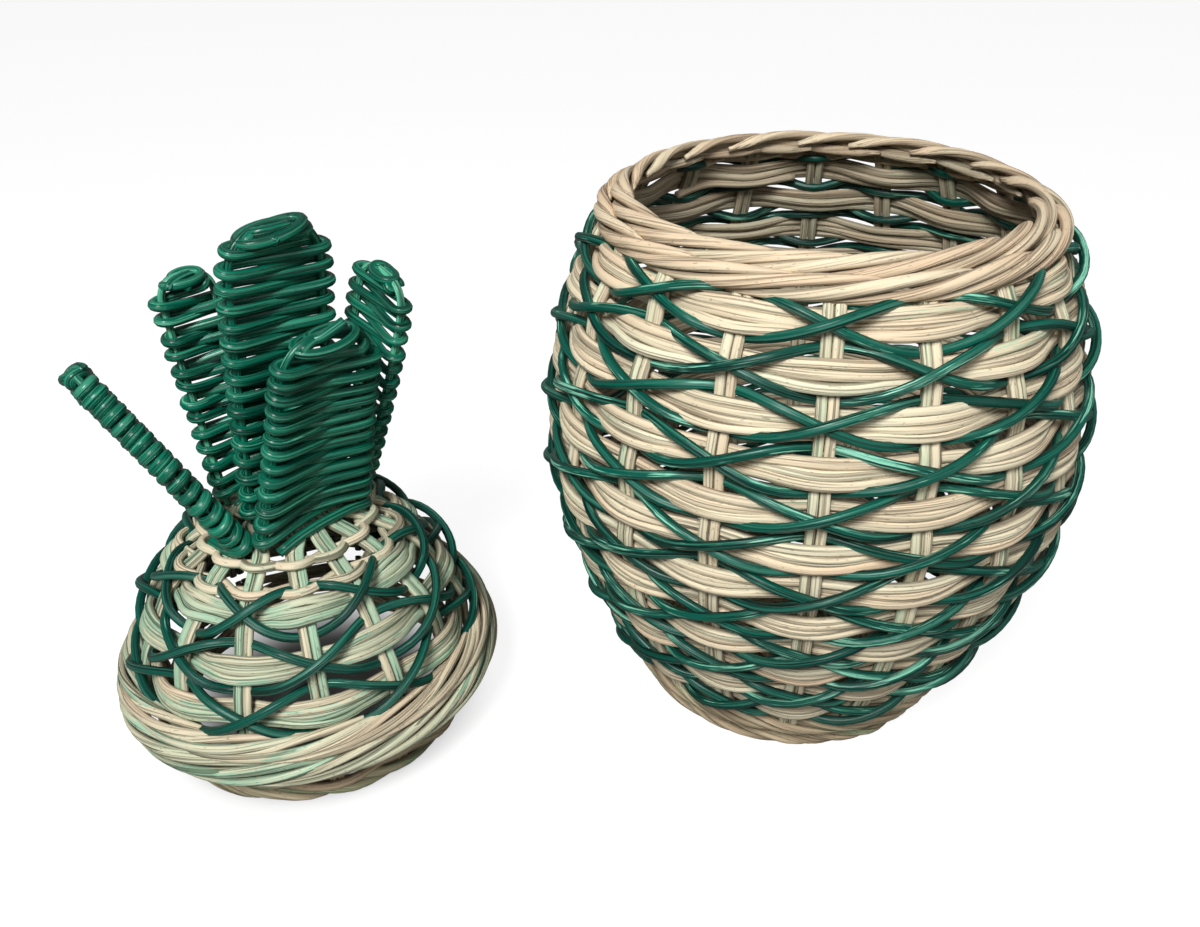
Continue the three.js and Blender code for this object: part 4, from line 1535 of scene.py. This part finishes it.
@dataclass
class Lid:
    """The lid: its crown and stakes, rows, green strands, brim and collar."""

    dome_radius: float = 61.0
    dome_bottom: float = 25.0
    dome_top: float = 90.0
    dome_curve: float = 2.2
    stake_count: int = 14
    stake_turn: float = 0.318
    stake_reed: float = 1.6
    row_count: int = 3
    lowest_row: float = 19.2
    row_pitch: float = 17.4
    collar_bottom: float = 54.5
    collar_top: float = 59.0
    dome: Outline = field(init=False)
    weave: Weave = field(init=False)

    def __post_init__(self) -> None:
        """Works out the dome about the middle of the brim."""
        low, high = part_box("brim_border")
        axis = ((low.x + high.x) / 2 / MM, (low.y + high.y) / 2 / MM)
        angle = np.linspace(0, QUARTER, 400)
        radii = self.dome_radius * np.cos(angle).clip(0) ** (2 / self.dome_curve)
        rise = self.dome_top - self.dome_bottom
        heights = self.dome_bottom + rise * np.sin(angle) ** (2 / self.dome_curve)
        self.dome = Outline(axis, radii, heights)
        first = self.lowest_row + (self.row_count - 1) * self.row_pitch
        self.weave = Weave(
            self.dome, self.stake_count, self.stake_turn, first, self.row_pitch, shift=1, reed=1.6,
            strand=1.65,
        )

    def crown(self) -> ReedPiece:
        """Makes the stakes, which cross at the crown and run down to the collar."""
        rng = np.random.default_rng(61)
        piece = ReedPiece("lid_stakes", Body.LID, Slot.MINT, ["lid_crown_stakes"])
        fan_start, fan_end, edge = 12.0, 25.0, 33.0
        slath = Slath(
            self.stake_count, self.stake_turn, fan_start, fan_end, edge, self.stake_reed,
        )
        join = float(self.dome.at_radius(np.array(edge)))
        lower_end, gap = 2.0, 0.03  # place of their lower ends, and half the gap in a pair
        for number, side, flat, lift in slath.paths():
            radius = np.hypot(flat[:, 0], flat[:, 1])
            angle = np.arctan2(flat[:, 1], flat[:, 0])
            top, normals = self.dome.place(angle, self.dome.at_radius(radius), lift * self.stake_reed)
            ends = []
            for stake, sign in ((number + self.stake_count // 2, -1), (number, 1)):
                along = np.linspace(lower_end, join, 26)
                row = (self.weave.first_row - along) / self.row_pitch + 1
                offset = -self.weave.sway * np.cos(math.pi * (stake + row + 1))
                around = np.interp(along, self.dome.lengths, self.dome.radii)
                lean = sign * side * (self.stake_reed + gap) / around
                ends.append(self.dome.place(self.weave.angle(stake) + lean, along, offset))
            points = np.concatenate([ends[0][0], top[1:-1], ends[1][0][::-1]])
            directions = np.concatenate([ends[0][1], normals[1:-1], ends[1][1][::-1]])
            points = smoothed(points, 5, closed=False)
            look = Look(0.7, 0.15, 0.4)
            if side > 0:
                look = Look(rng.uniform(0, 0.5), rng.uniform(0.3, 0.7), 0.6)
            reed = Strand(
                points, directions, self.stake_reed, look, closed=False, flat=0.76, square=0.82,
            )
            piece.strands.append(reed)
        return piece

    def rows(self) -> list[ReedPiece]:
        """Makes the three rows."""
        made = []
        for row in range(1, self.row_count + 1):
            rng = np.random.default_rng(700 + row)
            looks = [Look(rng.uniform(0, 0.5), rng.uniform(0.15, 0.6), rng.uniform(0.3, 0.55))
                     for _ in range(2)]
            looks.append(Look(rng.uniform(0.4, 0.9), 0.2, 0.45))
            looks.append(Look(0.95, 0.0, 0.15))
            name = f"lid_row_{row}"
            piece = ReedPiece(name.replace("row", "weaver"), Body.LID, Slot.MINT, [name])
            piece.strands = self.weave.row(row, 4 if row == self.row_count else 3, looks, rng)
            made.append(piece)
        return made

    def greens(self) -> list[ReedPiece]:
        """Makes the green strands, one to a row."""
        made = []
        for row in range(1, self.row_count + 1):
            rng = np.random.default_rng(800 + row)
            name = f"lid_green_{row}"
            piece = ReedPiece(name.replace("green", "strand"), Body.LID, Slot.GREEN, [name])
            piece.strands = [self.weave.green(row, Look(rng.uniform(0, 0.6), 0.0, 0.14), rng)]
            made.append(piece)
        return made

    def twining(self) -> ReedPiece:
        """Makes the rounds of reed that are twined in and out near the crown."""
        rng = np.random.default_rng(71)
        piece = ReedPiece("crown_rings", Body.LID, Slot.MINT, ["crown_twining"])
        detail = 8  # steps from one stake to the next
        stake = np.arange(self.stake_count * detail) / detail
        ring = TAU * stake / self.stake_count
        reach, reed = 2.75, 1.75
        for radius, swing_out in ((28.0, 2.4), (36.5, 2.3)):
            level = float(self.dome.at_radius(np.array(radius)))
            for half in (0, 1):
                front = np.cos(math.pi * (stake + half))
                along = level - swing_out * front + waver(rng, ring, 0.5, (3, 5))
                offset = reach * front + waver(rng, ring, 0.15, (4, 6))
                points, normals = self.dome.place(self.weave.angle(stake), along, offset)
                look = Look(rng.uniform(0.2, 1), rng.uniform(0, 0.25), 0.35)
                piece.strands.append(Strand(points, normals, reed, look, flat=0.8))
        return piece

    def brim(self) -> ReedPiece:
        """Makes the thick twisted brim."""
        rng = np.random.default_rng(81)
        piece = ReedPiece("brim", Body.LID, Slot.MINT, ["brim_border"])
        start = self.weave.angle(0.5)
        reed, bulge, turned_on = 1.65, 1.3, 0.2
        course = ((-0.45, -115), (0, -72), (2.3, 88), (2.8, 150))
        rounds = ((65.6, 35.2, (1.7, 2.9), -0.8, 0.6), (67.9, 27.6, (1.9, 3.1), -0.1, 0.15))
        for ring, height, half, lean, warmth in rounds:
            border = Border(
                self.dome.axis, ring, height, half, self.stake_count, start, reed,
                course=course, bulge=bulge, reeds=2, lean=lean, flat=0.86,
            )
            looks = []
            for _ in range(2 * self.stake_count):
                pale = rng.random() < warmth
                mint = Look(rng.uniform(0, 0.5), rng.uniform(0.0, 0.35), rng.uniform(0.25, 0.5))
                looks.append(Look(rng.uniform(0.7, 1), 0.0, rng.uniform(0.05, 0.25)) if pale else mint)
            piece.strands += border.lay(looks, rng)
            start += turned_on
        return piece

    def collar(self) -> ReedPiece:
        """Makes the collar under the brim, which sits in the basket's mouth."""
        rng = np.random.default_rng(91)
        piece = ReedPiece("collar_weave", Body.LID, Slot.BASE, ["collar"])
        heights = np.linspace(0, self.dome_bottom, 60)
        radii = self.collar_bottom + (self.collar_top - self.collar_bottom) * heights / self.dome_bottom
        outline = Outline(self.dome.axis, radii, heights)
        top_row, pitch, rows = 21.0, 3.6, 5
        weave = Weave(
            outline, self.stake_count, self.stake_turn, top_row, pitch, shift=1, reed=1.6,
            row_reach=1.9, sway=0.3, detail=6,
        )
        for row in range(1, rows + 1):
            looks = [Look(rng.uniform(0, 1), 0.0, rng.uniform(0.1, 0.4))]
            piece.strands += weave.row(row, 1, looks, rng)
        low, high, reed = 2.0, 25.5, 1.3
        for number in range(self.stake_count):
            looks = (Look(0.3, 0.1, 0.3), Look(0.8, 0.0, 0.1))
            piece.strands += weave.stake(number, low, high, looks, reed)
        ring, height = self.collar_bottom + 0.8, 3.4
        foot = Rope(
            self.dome.axis, ring, height, (1.9, 1.7), strands=3, reeds=1, turns=5, radius=1.65,
        )
        piece.strands += foot.lay([Look(0.2, 0.5, 0.5), Look(0.5, 0.3, 0.4), Look(0.6, 0.1, 0.3)], rng)
        return piece


@dataclass(frozen=True)
class Studio:
    """The pale floor, the soft light and the camera."""

    place: tuple[float, float, float] = (-0.0770, -0.3468, 0.3013)
    down: float = 31.2  # degrees below the horizon
    roll: float = -1.04
    lens: float = 31.69
    sensor: float = 36.0
    floor: float = 6.0  # half its width
    floor_glow: float = 0.88
    lid_place: tuple[float, float, float] = (-0.1915, -0.025, 0.0)
    # The painted shadow round where the lid stands at rest.
    painted_lid_shadow: tuple[float, float] = (0.03, 0.072)  # radii where the floor's glow starts and is full
    surrounds: float = 0.16  # light from all round
    reflected: float = 0.15  # the same in reflections

    def camera(self) -> None:
        """Sets the camera where the photograph was taken from."""
        data = bpy.data.cameras.new("camera")
        data.lens = self.lens
        data.sensor_width = self.sensor
        data.clip_start = 0.01
        made = bpy.data.objects.new("camera", data)
        pitch = Matrix.Rotation(QUARTER - math.radians(self.down), 4, "X")
        roll = Matrix.Rotation(math.radians(self.roll), 4, "Z")
        made.matrix_world = Matrix.Translation(self.place) @ pitch @ roll
        bpy.context.scene.collection.objects.link(made)
        bpy.context.scene.camera = made

    def ground(self) -> None:
        """Lays a pale floor that shows white to the camera, with a painted shadow where the lid stands:
        its glow is dimmed there, even when the lid is lifted.
        """
        shape = bmesh.new()
        bmesh.ops.create_grid(shape, x_segments=1, y_segments=1, size=self.floor)
        mesh = bpy.data.meshes.new("floor")
        shape.to_mesh(mesh)
        shape.free()
        made = bpy.data.objects.new("floor", mesh)
        bpy.context.scene.collection.objects.link(made)
        material, shading = blank_material("floor")
        surface = shading.node("ShaderNodeBsdfPrincipled")
        surface.inputs["Base Color"].default_value = linear((0.5, 0.5, 0.5))
        surface.inputs["Roughness"].default_value = 0.9
        place = shading.node("ShaderNodeTexCoord").outputs["Object"]
        away = shading.node("ShaderNodeVectorMath", operation="DISTANCE")
        shading.feed(away.inputs[0], place)
        shading.feed(away.inputs[1], self.lid_place)
        # Painted shadow: the floor's glow is dimmed round where the lid stands, so that the lid's
        # openings show dark.
        shade = shading.span(away.outputs["Value"], *self.painted_lid_shadow, self.floor_glow)
        glow = shading.node("ShaderNodeEmission")
        seen = shading.node("ShaderNodeLightPath").outputs["Is Camera Ray"]
        shading.feed(glow.inputs["Strength"], shading.math("MULTIPLY", seen, shade))
        both = shading.node("ShaderNodeAddShader")
        shading.feed(both.inputs[0], surface.outputs["BSDF"])
        shading.feed(both.inputs[1], glow.outputs["Emission"])
        output = shading.node("ShaderNodeOutputMaterial")
        shading.feed(output.inputs["Surface"], both.outputs[0])
        mesh.materials.append(material)

    def light(self) -> None:
        """Lights the basket softly from above and from the front left."""
        world = bpy.data.worlds.new("world")
        world.use_nodes = True
        bpy.context.scene.world = world
        world.node_tree.nodes.clear()
        shading = Shading(world.node_tree)
        rays = shading.node("ShaderNodeLightPath")
        glossy = shading.math("MULTIPLY", rays.outputs["Is Glossy Ray"], self.reflected)
        seen = shading.math("MAXIMUM", rays.outputs["Is Camera Ray"], glossy)
        background = shading.node("ShaderNodeBackground")
        background.inputs["Color"].default_value = (1.0, 1.0, 1.0, 1.0)
        strength = shading.math("MULTIPLY_ADD", seen, 1.0 - self.surrounds, self.surrounds)
        shading.feed(background.inputs["Strength"], strength)
        output = shading.node("ShaderNodeOutputWorld")
        shading.feed(output.inputs["Surface"], background.outputs["Background"])
        target = Vector((-0.08, 0.0, 0.09))
        # name, place, width and power of each
        lamps = (
            ("key", (-0.35, -0.85, 1.05), 0.4, 20.4),
            ("fill", (0.9, -0.8, 0.8), 0.9, 3.0),
        )
        for name, place, size, energy in lamps:
            data = bpy.data.lights.new(name, "AREA")
            data.size = size
            data.energy = energy
            lamp = bpy.data.objects.new(name, data)
            lamp.location = place
            lamp.rotation_euler = (target - Vector(place)).to_track_quat("-Z", "Y").to_euler()
            bpy.context.scene.collection.objects.link(lamp)


def main() -> None:
    """Builds the basket, the lid and the studio in order."""
    logging.basicConfig(level=logging.INFO, format="%(message)s")
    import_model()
    bpy.context.scene.view_settings.view_transform = "Standard"
    grain, patches = grain_and_shade_group(), patch_group()
    materials = {finish.slot: finish.material(grain, patches) for finish in FINISHES}
    basket, lid = BasketBody(), Lid()
    pieces = [*basket.stakes(), *basket.rows(), *basket.greens(), *basket.rim(), basket.foot()]
    pieces += [lid.crown(), *lid.rows(), *lid.greens(), lid.twining(), lid.brim(), lid.collar()]
    pieces += [leaf.build(lid.dome) for leaf in LEAVES]
    for piece in pieces:
        piece.build(materials)
    TubeForm.clear()
    studio = Studio()
    studio.camera()
    studio.ground()
    studio.light()


if __name__ == "__main__":
    main()
